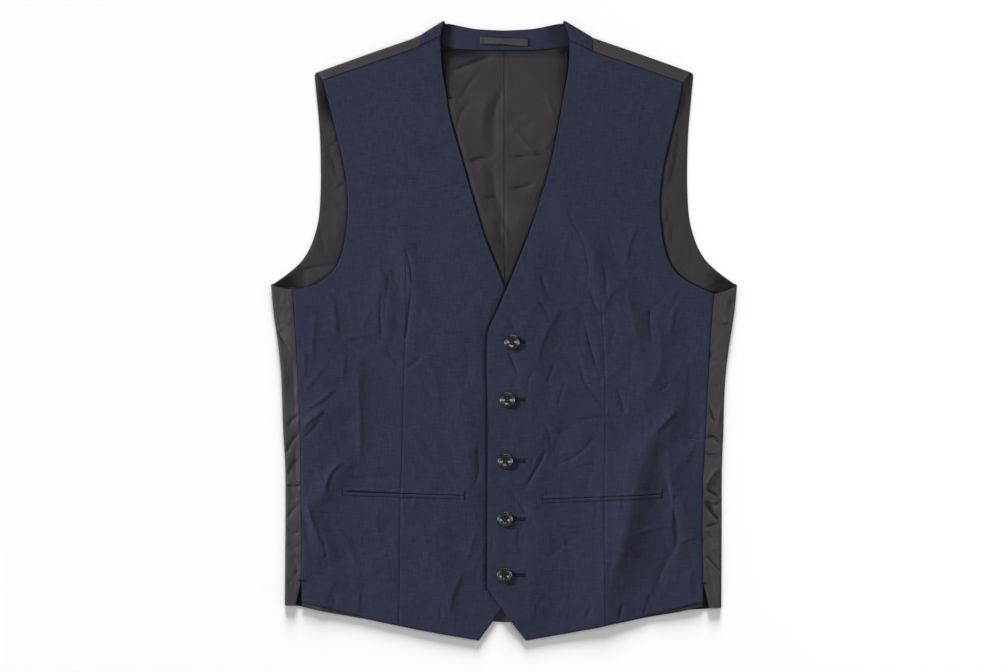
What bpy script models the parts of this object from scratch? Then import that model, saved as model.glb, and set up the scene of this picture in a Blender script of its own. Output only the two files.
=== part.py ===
"""Suit waistcoat, buttoned up and laid flat on its back, front side up.

The back lies flat on the surface in two halves that meet at the centre seam. Each half turns up
round a fold at its side and comes forward to the side seam, and turns over the shoulder to the
shoulder seam. The two fronts lie on the back between those seams, the wearer's left front on top.
A band of the front's cloth runs round the back of the neck and over both shoulders.

Shapes are worked out for one half, in millimetres: "out" is the distance from the centre line
towards the side, "height" is measured up the garment from the points of the fronts, and "lift" is
measured up from the surface that the waistcoat lies on.
"""

import math
from collections import namedtuple

import bmesh
import bpy
import numpy as np
from mathutils import Vector
from mathutils.bvhtree import BVHTree

MM = 0.001

# Driving sizes, in millimetres.
FRONT_LENGTH = 648.0        # from the front points to the top of the shoulder at the neck
HALF_CHEST = 245.0          # from the centre line to the side fold, at the underarm
BACK_WALL = 1.2             # satin back and its lining, as one wall
FRONT_WALL = 1.6            # suiting, canvas and lining, as one wall
TRIM_WALL = 1.0             # welts, hanger tape and the lining that shows at the hem
SEAM_GAP = 0.4              # between neighbouring pieces, along a seam line drawn in short chords
FOLD_RADIUS = 2.5           # of the middle of the back's wall, at the sides and shoulders
FRONT_CLEARANCE = 1.9       # between the back and the fronts, where they lie on it
LAP_CLEARANCE = 0.55        # between the two fronts, where they overlap

BACK_MID = BACK_WALL / 2
FOLDED_MID = BACK_MID + 2 * FOLD_RADIUS
FOLD_SETBACK = FOLD_RADIUS + BACK_WALL / 2
FRONT_MID = BACK_WALL + FRONT_CLEARANCE + FRONT_WALL / 2
LAPPED_MID = FRONT_MID + FRONT_WALL + LAP_CLEARANCE
BEND_LENGTH = math.pi * FOLD_RADIUS

# Cells that the walls' grids have in common where they meet.
NECK_CELLS = 8
SHOULDER_CELLS = 6
BEND_CELLS = 6
FLAP_CELLS = 2

Point = namedtuple("Point", "out height")
Side = namedtuple("Side", "name sign underarm hem_at_fold band_end shoulder_flap shoulder_end")
EdgeRow = namedtuple("EdgeRow", "height right left")
Fold = namedtuple("Fold", "out0 height0 out1 height1 spread rise")
Button = namedtuple("Button", "across height turn")
Pocket = namedtuple("Pocket", "inner_out inner_height outer_out outer_height")

# The wearer's right is at -X. "underarm" is the top of the side seam, "hem_at_fold" the height of
# the back's hem at the side fold, and "shoulder_flap" how far the back comes forward over the
# shoulder. The two ends are of the neck band and of the shoulder seam.
RIGHT = Side("right", -1, Point(222.4, 368.8), 37.0, 87.0, 11.5, 190.0)
LEFT = Side("left", 1, Point(220.4, 364.0), 34.2, 93.0, 14.5, 188.0)

# Front edge of each front: cutaway, button stand, break and V neck, from the point upwards. A
# negative "out" is past the centre line, where the fronts overlap.
CUTAWAY = [
    EdgeRow(0.0, 26.5, 22.9),
    EdgeRow(18.3, 13.2, 8.7),
    EdgeRow(33.0, 2.6, -2.0),
    EdgeRow(50.0, -11.0, -14.0),
    EdgeRow(58.0, -17.0, -17.6),
]
BUTTON_STAND = [
    EdgeRow(58.0, -17.0, -17.6),
    EdgeRow(120.0, -17.5, -17.6),
    EdgeRow(231.0, -17.5, -16.9),
    EdgeRow(290.0, -18.0, -18.4),
    EdgeRow(320.0, -17.0, -17.4),
    EdgeRow(333.0, -13.8, -13.6),
    EdgeRow(348.0, -8.0, -6.4),
]
V_NECK = [
    EdgeRow(348.0, -8.0, -6.4),
    EdgeRow(384.0, 4.0, 8.8),
    EdgeRow(420.0, 18.5, 23.3),
    EdgeRow(456.0, 29.7, 36.0),
    EdgeRow(503.0, 43.2, 49.5),
    EdgeRow(551.0, 56.8, 59.1),
    EdgeRow(576.0, 60.6, 63.3),
    EdgeRow(600.0, 64.8, 67.6),
    EdgeRow(630.0, 66.8, 69.3),
]

# Side fold of the back, from below the hem to the underarm.
SIDE_FOLD = [
    EdgeRow(30.0, 230.4, 228.3),
    EdgeRow(117.0, 229.7, 228.7),
    EdgeRow(180.0, 229.8, 228.9),
    EdgeRow(222.0, 232.1, 230.6),
    EdgeRow(255.0, 233.2, 231.4),
    EdgeRow(280.0, 234.2, 233.0),
    EdgeRow(300.0, 236.0, 235.2),
    EdgeRow(320.0, 238.5, 238.0),
    EdgeRow(347.0, 242.4, 242.2),
    EdgeRow(371.0, HALF_CHEST, HALF_CHEST),
]
# Side seam, where the back's flap meets the front.
SIDE_SEAM = [
    EdgeRow(30.0, 212.4, 209.3),
    EdgeRow(63.0, 212.6, 209.0),
    EdgeRow(117.0, 212.6, 207.8),
    EdgeRow(168.0, 213.0, 208.8),
    EdgeRow(219.0, 213.9, 211.8),
    EdgeRow(276.0, 216.2, 214.4),
    EdgeRow(320.0, 218.8, 216.9),
    EdgeRow(345.0, 220.8, 218.9),
]
FRONT_CORNER = 41.2         # height of a front's hem at the side seam
# Armhole edge of the back, where it lies flat, from the side fold to the shoulder fold.
BACK_ARMHOLE = [
    Point(241.9, 374.6),
    Point(230.0, 383.0),
    Point(221.5, 389.8),
    Point(213.0, 398.0),
    Point(206.0, 408.5),
    Point(200.5, 421.0),
    Point(195.0, 442.0),
    Point(192.8, 470.0),
    Point(192.6, 503.0),
    Point(193.8, 537.0),
    Point(196.8, 571.0),
    Point(199.0, 593.8),
]
# Armhole edge of a front, between the side seam and the shoulder seam.
FRONT_ARMHOLE = [
    Point(203.5, 372.0),
    Point(194.6, 376.3),
    Point(187.0, 381.5),
    Point(179.0, 389.0),
    Point(172.5, 400.5),
    Point(168.0, 416.5),
    Point(164.7, 440.0),
    Point(163.8, 462.0),
    Point(166.0, 486.0),
    Point(170.3, 510.0),
    Point(176.3, 534.0),
    Point(183.2, 562.0),
]
# Top of the shoulder, where the back turns over, from the neck to the armhole.
SHOULDER_FOLD = [
    Point(62.0, FRONT_LENGTH),
    Point(86.0, 637.0),
    Point(98.0, 631.5),
    Point(130.0, 620.5),
    Point(166.0, 608.0),
    Point(198.0, 597.0),
]
# Neck edge and lower seam of the neck band, from the centre back to the shoulder.
NECK_EDGE = [Point(0.0, 640.0), Point(27.5, 641.2), Point(47.7, 643.8), Point(62.0, 644.9)]
BAND_SEAM = [Point(0.0, 620.0), Point(35.0, 620.4), Point(62.0, 623.5)]

BACK_HEM_CENTRE = 18.9      # height of the back's hem at the centre seam
FRONT_HEM_BOW = 2.6         # how far a front's hem bows below a straight line
VENT_HEIGHT = 27.0
VENT_GAPE = 6.0             # how far the side vent stands open at the hem

# The largest folds in the fronts: long soft ridges, and troughs where "rise" is negative.
FOLDS = {
    "right": [
        Fold(105.0, 415.0, 95.0, 366.0, 11.0, 1.5),
        Fold(126.0, 378.0, 128.0, 330.0, 12.0, 1.3),
        Fold(166.0, 250.0, 205.0, 226.0, 11.0, 1.8),
        Fold(166.0, 186.0, 190.0, 152.0, 11.0, 1.6),
        Fold(204.0, 138.0, 186.0, 98.0, 11.0, 1.4),
        Fold(40.0, 250.0, 36.0, 150.0, 12.0, 1.0),
        Fold(70.0, 110.0, 62.0, 36.0, 14.0, 1.2),
    ],
    "left": [
        Fold(58.0, 458.0, 92.0, 408.0, 12.0, 1.4),
        Fold(92.0, 408.0, 106.0, 362.0, 12.0, 1.6),
        Fold(120.0, 372.0, 138.0, 330.0, 12.0, 1.3),
        Fold(182.0, 240.0, 152.0, 205.0, 12.0, 1.8),
        Fold(152.0, 205.0, 128.0, 104.0, 13.0, 2.2),
        Fold(174.0, 184.0, 180.0, 100.0, 12.0, 1.6),
        Fold(176.0, 92.0, 154.0, 44.0, 12.0, 1.4),
        Fold(48.0, 226.0, 62.0, 262.0, 11.0, 1.2),
    ],
}

BUTTON_RADIUS = 8.2
BUTTON_HOLE_RADIUS = 0.9
BUTTON_HOLE_SPREAD = 1.5    # of each of the four holes from the middle, each way
# Outline of half a button, from the middle of its underside to the middle of its well.
BUTTON_PROFILE = [
    Point(6.4, 0.0),
    Point(7.9, 0.6),
    Point(BUTTON_RADIUS, 1.5),
    Point(7.8, 2.4),
    Point(6.8, 2.9),
    Point(5.8, 2.6),
    Point(5.1, 1.9),
]
BUTTON_SEGMENTS = 24
BUTTONS = [
    Button(8.3, 313.3, 20.0),
    Button(3.5, 252.6, 0.0),
    Button(1.4, 188.4, 90.0),
    Button(1.0, 127.4, 50.0),
    Button(0.4, 68.7, 5.0),
]

POCKETS = {
    "right": Pocket(41.5, 151.4, 169.0, 156.5),
    "left": Pocket(40.5, 147.5, 165.5, 153.8),
}
WELT_DEPTH = 3.9
POCKET_MOUTH = 0.7          # gap between the two welts
POCKET_BOW = 1.2            # how far a pocket's middle hangs below a straight line
CHORD_GAP = 0.42            # between a front and what lies on it or under it, in short chords

LOOP_LENGTH = 50.0
LOOP_DEPTH = 6.3
LOOP_HEIGHT = 628.2
LOOP_SLANT = 2.4            # how far its left end lies below its right end
LOOP_RISE = 0.9

HEM_LINING_DEPTH = 14.0
# How far the front's lining shows below its hem, from the front point to the side.
HEM_LINING_SHOWS = [Point(62.0, 0.3), Point(90.0, 0.7), Point(145.0, 1.4), Point(177.0, 3.8), Point(211.0, 5.4)]

# Colours in linear light, roughness and metallic.
NAVY = (0.030, 0.035, 0.062)
SATIN = (0.044, 0.041, 0.044)
BUTTON_BLACK = (0.012, 0.012, 0.013)


def material(name, colour, roughness):
    made = bpy.data.materials.new(name)
    made.use_nodes = True
    shader = made.node_tree.nodes["Principled BSDF"]
    shader.inputs["Base Color"].default_value = (*colour, 1.0)
    shader.inputs["Roughness"].default_value = roughness
    shader.inputs["Metallic"].default_value = 0.0
    return made


def smooth_step(share):
    share = np.clip(share, 0.0, 1.0)
    return share * share * (3 - 2 * share)


def curve_through(rows):
    """Close-spaced points on a smooth curve through the rows."""
    knots = np.array([tuple(row) for row in rows], float)
    before = np.vstack([2 * knots[0] - knots[1], knots[:-1]])
    after = np.vstack([knots[1:], 2 * knots[-1] - knots[-2]])
    slopes = (after - before) / 2
    points = []
    for k in range(len(knots) - 1):
        for t in np.linspace(0, 1, 12, endpoint=False):
            points.append(
                (2 * t**3 - 3 * t**2 + 1) * knots[k]
                + (t**3 - 2 * t**2 + t) * slopes[k]
                + (3 * t**2 - 2 * t**3) * knots[k + 1]
                + (t**3 - t**2) * slopes[k + 1]
            )
    points.append(knots[-1])
    return np.array(points)


def evenly(points, cells):
    """The ends of that many equal lengths along a line of points."""
    steps = np.linalg.norm(np.diff(points, axis=0), axis=1)
    along = np.concatenate([[0], np.cumsum(steps)])
    at = np.linspace(0, along[-1], cells + 1)
    return np.column_stack([np.interp(at, along, points[:, k]) for k in range(2)])


def one_side(rows, side):
    return [Point(getattr(row, side.name), row.height) for row in rows]


def side_seam(side):
    return curve_through([*one_side(SIDE_SEAM, side), side.underarm])


def stretch(line, low, high):
    """The part of a rising line of points between two heights."""
    inside = line[(line[:, 1] > low) & (line[:, 1] < high)]
    ends = [(np.interp(height, line[:, 1], line[:, 0]), height) for height in (low, high)]
    return np.vstack([ends[:1], inside, ends[1:]])


def ladder(*stretches):
    """One line of points from (line, cells) stretches that follow each other."""
    parts = [evenly(line, cells) for line, cells in stretches]
    return np.vstack([parts[0]] + [part[1:] for part in parts[1:]])


def out_at(line, height):
    return float(np.interp(height, line[:, 1], line[:, 0]))


def height_at(rows, out):
    line = curve_through(rows)
    return float(np.interp(out, line[:, 0], line[:, 1]))


def between(inner, outer, columns):
    """A grid of rows of points from one side line to the other."""
    share = np.linspace(0, 1, columns + 1)[None, :, None]
    return (1 - share) * inner[:, None, :] + share * outer[:, None, :]


def past_fold(length):
    """Plan distance past the start of a fold, and lift, of cloth this far past it."""
    turn = min(max(length / FOLD_RADIUS, 0.0), math.pi)
    back = max(length - BEND_LENGTH, 0.0)
    return FOLD_RADIUS * math.sin(turn) - back, BACK_MID + FOLD_RADIUS * (1 - math.cos(turn))


def lengths_round(flap):
    """Distances past the start of a fold, to the end of a flap that reaches this far back over it."""
    bend = [BEND_LENGTH * k / BEND_CELLS for k in range(1, BEND_CELLS + 1)]
    return bend + [BEND_LENGTH + flap * k / FLAP_CELLS for k in range(1, FLAP_CELLS + 1)]


def wall(name, grid, thickness, sign, finish):
    """A cloth wall whose middle runs through the grid's points. A cell with a missing corner is left out."""
    rows, columns, _ = grid.shape
    mesh = bpy.data.meshes.new(name)
    shape = bmesh.new()
    corners = {}
    for j in range(rows):
        for i in range(columns):
            if not np.isnan(grid[j, i]).any():
                out, height, lift = (float(value) for value in grid[j, i])
                place = (sign * out * MM, (height - FRONT_LENGTH / 2) * MM, lift * MM)
                corners[j, i] = shape.verts.new(place)
    for j in range(rows - 1):
        for i in range(columns - 1):
            cell = [(j, i), (j, i + 1), (j + 1, i + 1), (j + 1, i)]
            if all(corner in corners for corner in cell):
                shape.faces.new([corners[corner] for corner in cell])
    shape.to_mesh(mesh)
    shape.free()
    made = bpy.data.objects.new(name, mesh)
    bpy.context.scene.collection.objects.link(made)
    made.data.materials.append(finish)
    thicken = made.modifiers.new("cloth thickness", "SOLIDIFY")
    thicken.thickness = thickness * MM
    thicken.offset = 0.0
    mesh.shade_smooth()
    mesh.set_sharp_from_angle(angle=math.radians(40))
    return made


def fold_rise(side, out, height):
    """How far the largest folds raise the middle of a front's wall."""
    total = 0.0
    for fold in FOLDS[side.name]:
        run = np.array([fold.out1 - fold.out0, fold.height1 - fold.height0])
        to_point = np.array([out - fold.out0, height - fold.height0])
        along = float(to_point @ run) / float(run @ run)
        past_end = max(-along, along - 1.0, 0.0) * float(np.hypot(*run))
        aside = abs(float(run[0] * to_point[1] - run[1] * to_point[0])) / float(np.hypot(*run))
        total += fold.rise * math.exp(-((aside / fold.spread) ** 2) - (past_end / fold.spread) ** 2)
    return total


def band_seam_line(side, cells):
    """Lower edge of the neck band, from the centre back to where the shoulder fold starts."""
    end_height = height_at(SHOULDER_FOLD, side.band_end) - FOLD_SETBACK
    return evenly(curve_through([*BAND_SEAM, Point(side.band_end, end_height)]), cells)


def shoulder_seam_height(side, out):
    """Height of a front's top edge, which runs parallel to the shoulder fold."""
    return height_at(SHOULDER_FOLD, max(out, SHOULDER_FOLD[0].out)) - side.shoulder_flap


def front_lift(side, out, height):
    """Lift of the middle of a front's wall: level on the back, rising to the seams and over the lap."""
    side_reach, shoulder_reach = 75.0, 60.0
    seam_out = out_at(side_seam(side), height)
    from_side = math.hypot(max(seam_out - out, 0.0), max(height - side.underarm.height, 0.0))
    from_shoulder = max(shoulder_seam_height(side, out) - height, 0.0)
    raised = max(
        smooth_step(1 - from_side / side_reach), smooth_step(1 - from_shoulder / shoulder_reach)
    )
    lift = FRONT_MID + (FOLDED_MID - FRONT_MID) * raised
    if side is LEFT:
        lap = smooth_step((62.0 - out) / 36.0) * smooth_step((450.0 - height) / 70.0)
        lap *= smooth_step((height - 6.0) / 24.0)
        lift += (LAPPED_MID - FRONT_MID) * lap
    quiet_seams = smooth_step(from_side / 12.0) * smooth_step(from_shoulder / 12.0)
    return lift + fold_rise(side, out, height) * float(quiet_seams)


def front_grid(side):
    """Middle of a front: rows run from the front edge to the side seam and armhole."""
    stage_cells = (5, 20, 20)
    columns = 15
    edge = ladder(*[
        (curve_through(one_side(rows, side)), cells)
        for rows, cells in zip((CUTAWAY, BUTTON_STAND, V_NECK), stage_cells)
    ])
    level = 92.0            # on the side seam, across from the top of the cutaway
    seam = side_seam(side)
    shoulder_end = Point(side.shoulder_end, shoulder_seam_height(side, side.shoulder_end))
    outer_stages = (
        stretch(seam, FRONT_CORNER, level),
        stretch(seam, level, side.underarm.height),
        curve_through([side.underarm, *FRONT_ARMHOLE, shoulder_end]),
    )
    outer = ladder(*zip(outer_stages, stage_cells))
    seam_rows = stage_cells[0] + stage_cells[1] + 1
    outer[:seam_rows, 0] -= SEAM_GAP / 2
    edge[-1, 1] = shoulder_seam_height(side, edge[-1, 0])
    plan = between(edge, outer, columns)
    share_across = np.linspace(0, 1, columns + 1)
    share_up = np.linspace(0, 1, len(edge))
    plan[:, :, 1] -= FRONT_HEM_BOW * np.outer(np.clip(1 - 6 * share_up, 0, 1), 4 * share_across * (1 - share_across))
    top_row = [shoulder_seam_height(side, out) - SEAM_GAP / 2 for out in plan[-1, :, 0]]
    to_top = top_row - plan[-1, :, 1]
    plan[:, :, 1] += np.outer(smooth_step((share_up - 0.8) / 0.2), to_top)
    lifts = [[front_lift(side, *point) for point in row] for row in plan]
    return np.dstack([plan, lifts])


def back_grid(side):
    """Middle of a half of the back, flat up to its folds and round them to the seams."""
    hem_cells, body_cells, armhole_cells = 2, 12, 14
    fold = curve_through(one_side(SIDE_FOLD, side))
    vent_top = side.hem_at_fold + VENT_HEIGHT
    fold_line = ladder(
        (stretch(fold, side.hem_at_fold, vent_top), hem_cells),
        (stretch(fold, vent_top, SIDE_FOLD[-1].height), body_cells),
    )
    fold_rows = len(fold_line)
    start_line = fold_line - [FOLD_SETBACK, 0.0]
    start_line[-1] = BACK_ARMHOLE[0]
    armhole_line = evenly(curve_through(BACK_ARMHOLE), armhole_cells)
    outer = np.vstack([start_line, armhole_line[1:]])
    share_up = np.concatenate([
        np.linspace(0, 0.52, fold_rows),
        np.linspace(0.52, 1, armhole_cells + 1)[1:],
    ])
    centre_top = BAND_SEAM[0].height - SEAM_GAP
    centre = np.column_stack([
        np.full(len(outer), SEAM_GAP / 2),
        BACK_HEM_CENTRE + share_up * (centre_top - BACK_HEM_CENTRE),
    ])
    columns = NECK_CELLS + SHOULDER_CELLS
    plan = between(centre, outer, columns)
    neck_top = band_seam_line(side, NECK_CELLS) - [0.0, SEAM_GAP]
    neck_top[0, 0] += SEAM_GAP / 2
    neck_top[-1, 0] += SEAM_GAP
    shoulder_outs = np.linspace(neck_top[-1, 0], BACK_ARMHOLE[-1].out, SHOULDER_CELLS + 1)[1:]
    shoulder_top = [(out, height_at(SHOULDER_FOLD, out) - FOLD_SETBACK) for out in shoulder_outs]
    plan += share_up[:, None, None] ** 2 * (np.vstack([neck_top, shoulder_top]) - plan[-1])[None, :, :]
    round_fold = BEND_CELLS + FLAP_CELLS
    grid = np.full((len(outer) + round_fold, columns + 1 + round_fold, 3), np.nan)
    grid[: len(outer), : columns + 1, :2] = plan
    grid[: len(outer), : columns + 1, 2] = BACK_MID
    seam = side_seam(side)
    underarm_rise = start_line[-1][1] - side.underarm.height
    for j in range(fold_rows):
        start, height = start_line[j]
        gape = VENT_GAPE * max(0.0, 1 - (height - side.hem_at_fold) / VENT_HEIGHT)
        near_underarm = max(0.0, 1 - (fold_rows - 1 - j) / 4) ** 2
        seam_out = out_at(seam, height - underarm_rise * near_underarm)
        flap = start - seam_out - SEAM_GAP / 2 - gape
        for k, length in enumerate(lengths_round(flap)):
            past, lift = past_fold(length)
            drop = underarm_rise * near_underarm * smooth_step(length / (BEND_LENGTH + flap)) ** 0.7
            grid[j, columns + 1 + k] = (start + past, height - drop, lift)
    for i in range(NECK_CELLS, columns + 1):
        start_out, start_height = plan[-1, i]
        lean = (BACK_ARMHOLE[-1].out - side.shoulder_end) * ((i - NECK_CELLS) / SHOULDER_CELLS) ** 3
        flap = start_height - shoulder_seam_height(side, start_out - lean) - SEAM_GAP / 2
        for k, length in enumerate(lengths_round(flap)):
            past, lift = past_fold(length)
            across = lean * length / (BEND_LENGTH + flap)
            grid[len(outer) + k, i] = (start_out - across, start_height + past, lift)
    return grid


def band_grid():
    """Middle of the neck band, from one front's shoulder seam round the back neck to the other's."""
    depth_cells = 3
    neck = evenly(curve_through(NECK_EDGE), NECK_CELLS)
    halves = {}
    for side in (RIGHT, LEFT):
        seam = band_seam_line(side, NECK_CELLS)
        neck_end = one_side(V_NECK, side)[-1].out
        strips = []
        for share in np.linspace(0, 1, depth_cells + 1):
            line = [(*point, BACK_MID) for point in (1 - share) * neck + share * seam]
            out, start, _ = line[-1]
            end_out = (1 - share) * neck_end + share * side.band_end
            flap = start - shoulder_seam_height(side, end_out) - SEAM_GAP / 2
            for length in lengths_round(flap):
                past, lift = past_fold(length)
                across = (end_out - out) * length / (BEND_LENGTH + flap)
                line.append((out + across, start + past, lift))
            strips.append(line)
        halves[side.name] = np.array(strips).transpose(1, 0, 2)
    right = halves["right"][::-1].copy()
    right[:, :, 0] *= -1
    return np.vstack([right[:-1], halves["left"]])


def surface_lift(piece, side, out, height, top=True):
    """Lift of a piece's top or underside at a place."""
    heading = -1 if top else 1
    start = Vector((side.sign * out * MM, (height - FRONT_LENGTH / 2) * MM, -heading))
    hit = piece.ray_cast(start, Vector((0, 0, heading)))[0]
    return hit.z / MM


def surface_of(made):
    return BVHTree.FromObject(made, bpy.context.evaluated_depsgraph_get())


def welt_grid(side, front, upper):
    """Middle of one welt of a jetted pocket, made from its front's points, moved out."""
    pocket = POCKETS[side.name]
    cells = 32
    above_front = CHORD_GAP + TRIM_WALL / 2
    near = POCKET_MOUTH / 2 if upper else -POCKET_MOUTH / 2
    far = near + (WELT_DEPTH if upper else -WELT_DEPTH)
    grid = np.zeros((cells + 1, 2, 3))
    for j, share in enumerate(np.linspace(0, 1, cells + 1)):
        out = pocket.inner_out + share * (pocket.outer_out - pocket.inner_out)
        height = pocket.inner_height + share * (pocket.outer_height - pocket.inner_height)
        bow = POCKET_BOW * (1 - (2 * share - 1) ** 2)
        for i, offset in enumerate((near, far)):
            place = height + offset - bow
            grid[j, i] = (out, place, surface_lift(front, side, out, place) + above_front)
    return grid


def hem_lining_grid(side, front):
    """Middle of the lining that shows below a front's hem, made from the front's points, moved down."""
    cells, depth_cells = 24, 4
    hem = front_grid(side)[0]
    under_front = CHORD_GAP + TRIM_WALL / 2
    outs = np.linspace(HEM_LINING_SHOWS[0].out, hem[-1, 0] - 0.6, cells + 1)
    grid = np.zeros((cells + 1, depth_cells + 1, 3))
    for j, out in enumerate(outs):
        hem_height = float(np.interp(out, hem[:, 0], hem[:, 1]))
        shows = height_at(HEM_LINING_SHOWS, out)
        for i, share in enumerate(np.linspace(0, 1, depth_cells + 1)):
            height = hem_height - shows + share * (HEM_LINING_DEPTH + shows)
            underside = surface_lift(front, side, out, max(height, hem_height + 1.0), top=False)
            grid[j, i] = (out, height, underside - under_front)
    return grid


def loop_grid():
    """Middle of the hanger loop: a tape sewn down at both ends, bowing up a little between them."""
    cells = 12
    grid = np.zeros((cells + 1, 2, 3))
    for j, share in enumerate(np.linspace(0, 1, cells + 1)):
        out = LOOP_LENGTH * (share - 0.5)
        middle = LOOP_HEIGHT - LOOP_SLANT * (share - 0.5)
        rise = LOOP_RISE * math.sin(math.pi * share) ** 2
        lift = BACK_WALL + SEAM_GAP + TRIM_WALL / 2 + rise
        for i, offset in enumerate((-LOOP_DEPTH / 2, LOOP_DEPTH / 2)):
            grid[j, i] = (out, middle + offset, lift)
    return grid


def button_mesh():
    """A four-hole button with a rounded rim and a shallow well, resting on its underside."""
    body_mesh = bpy.data.meshes.new("button")
    shape = bmesh.new()
    rings = []
    for radius, lift in BUTTON_PROFILE:
        ring = []
        for k in range(BUTTON_SEGMENTS):
            angle = 2 * math.pi * k / BUTTON_SEGMENTS
            ring.append(shape.verts.new((radius * math.cos(angle) * MM, radius * math.sin(angle) * MM, lift * MM)))
        rings.append(ring)
    for lower, upper in zip(rings, rings[1:]):
        for k in range(BUTTON_SEGMENTS):
            after = (k + 1) % BUTTON_SEGMENTS
            shape.faces.new([lower[k], lower[after], upper[after], upper[k]])
    shape.faces.new(rings[0][::-1])
    shape.faces.new(rings[-1])
    shape.to_mesh(body_mesh)
    shape.free()
    body = bpy.data.objects.new("button blank", body_mesh)
    bpy.context.scene.collection.objects.link(body)

    cutter_mesh = bpy.data.meshes.new("button holes")
    shape = bmesh.new()
    for across in (-BUTTON_HOLE_SPREAD, BUTTON_HOLE_SPREAD):
        for along in (-BUTTON_HOLE_SPREAD, BUTTON_HOLE_SPREAD):
            made = bmesh.ops.create_cone(
                shape, cap_ends=True, segments=8,
                radius1=BUTTON_HOLE_RADIUS * MM, radius2=BUTTON_HOLE_RADIUS * MM, depth=8 * MM,
            )
            bmesh.ops.translate(shape, verts=made["verts"], vec=(across * MM, along * MM, MM))
    shape.to_mesh(cutter_mesh)
    shape.free()
    cutter = bpy.data.objects.new("button hole cutter", cutter_mesh)
    bpy.context.scene.collection.objects.link(cutter)
    cut = body.modifiers.new("holes", "BOOLEAN")
    cut.object = cutter
    cut.operation = "DIFFERENCE"
    cut.solver = "EXACT"
    graph = bpy.context.evaluated_depsgraph_get()
    finished = bpy.data.meshes.new_from_object(body.evaluated_get(graph))
    bpy.data.objects.remove(body)
    bpy.data.objects.remove(cutter)
    finished.shade_smooth()
    finished.set_sharp_from_angle(angle=math.radians(35))
    return finished


def sew_on_buttons(front, finish):
    """The buttons, on top of the left front along the button stand."""
    shared = button_mesh()
    shared.materials.clear()
    shared.materials.append(finish)
    for number, button in enumerate(BUTTONS, start=1):
        made = bpy.data.objects.new(f"button_{number}", shared)
        bpy.context.scene.collection.objects.link(made)
        under = [button]
        for k in range(16):
            angle = math.pi * k / 8
            across = button.across + BUTTON_RADIUS * math.cos(angle)
            under.append(Button(across, button.height + BUTTON_RADIUS * math.sin(angle), 0.0))
        lift = SEAM_GAP + max(surface_lift(front, LEFT, spot.across, spot.height) for spot in under)
        made.location = (button.across * MM, (button.height - FRONT_LENGTH / 2) * MM, lift * MM)
        made.rotation_euler = (0.0, 0.0, math.radians(button.turn))


def main():
    for leftover in list(bpy.data.objects):
        bpy.data.objects.remove(leftover)
    suiting = material("navy suiting", NAVY, 0.85)
    satin = material("charcoal satin", SATIN, 0.45)
    button_black = material("black button", BUTTON_BLACK, 0.25)

    wall("neck_band", band_grid(), BACK_WALL, 1, suiting)
    wall("hanger_loop", loop_grid(), TRIM_WALL, 1, satin)
    for side in (RIGHT, LEFT):
        wall(f"back_{side.name}", back_grid(side), BACK_WALL, side.sign, satin)
        front_wall = wall(f"front_{side.name}", front_grid(side), FRONT_WALL, side.sign, suiting)
        front = surface_of(front_wall)
        lining = hem_lining_grid(side, front)
        wall(f"hem_lining_{side.name}", lining, TRIM_WALL, side.sign, satin)
        upper, lower = welt_grid(side, front, True), welt_grid(side, front, False)
        wall(f"pocket_upper_welt_{side.name}", upper, TRIM_WALL, side.sign, suiting)
        wall(f"pocket_lower_welt_{side.name}", lower, TRIM_WALL, side.sign, suiting)
    sew_on_buttons(front, button_black)


main()
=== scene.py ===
"""Suit waistcoat, buttoned up and laid flat on its back on a pale studio floor.

Sizes are in millimetres in garment terms, as a cutter would give them: "out" is the distance from
the centre line towards the side, "height" is measured up from the points of the fronts, and
"lift" is measured up from the floor. The wearer's right is at -X and the neck is at +Y.
"""

import math
from collections import namedtuple

import bmesh
import bpy
import numpy as np
from mathutils import Matrix, Vector


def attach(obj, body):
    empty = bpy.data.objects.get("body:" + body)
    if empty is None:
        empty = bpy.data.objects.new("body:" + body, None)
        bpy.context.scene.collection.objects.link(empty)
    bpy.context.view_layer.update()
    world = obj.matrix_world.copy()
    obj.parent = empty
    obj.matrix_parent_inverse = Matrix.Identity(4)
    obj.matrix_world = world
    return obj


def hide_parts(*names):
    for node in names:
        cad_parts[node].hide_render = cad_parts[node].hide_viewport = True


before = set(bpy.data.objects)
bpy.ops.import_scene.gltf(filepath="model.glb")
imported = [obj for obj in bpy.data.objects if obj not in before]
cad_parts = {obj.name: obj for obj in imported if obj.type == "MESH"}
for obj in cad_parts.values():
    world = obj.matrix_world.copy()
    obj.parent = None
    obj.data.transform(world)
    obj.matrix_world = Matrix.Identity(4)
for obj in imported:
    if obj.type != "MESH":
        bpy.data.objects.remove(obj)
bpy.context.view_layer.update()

# ----------------------------------------
# Floor, light and camera. Pale matt paper among four softboxes. A low key from the upper left, out
# of the cloth's sheen, models its creases, and two small lights show only in that sheen. A wide
# raking light past the neck falls on the floor alone and leaves a soft shadow below the hem.
# ----------------------------------------
PAPER_TONE = (0.90, 0.90, 0.90, 1.0)
PAPER_WIDTH = 14.0
RAKING_DISTANCE = 4.0
RAKING_HEIGHT = math.radians(17.0)
RAKING_SPREAD = math.radians(20.0)
RAKING_STRENGTH = 6.15
ROOM_STRENGTH = 0.37
KEY_PLACE = (-3.7, 1.5, 1.45)
KEY_WIDTH = 1.0
KEY_WATTS = 505.0
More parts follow.
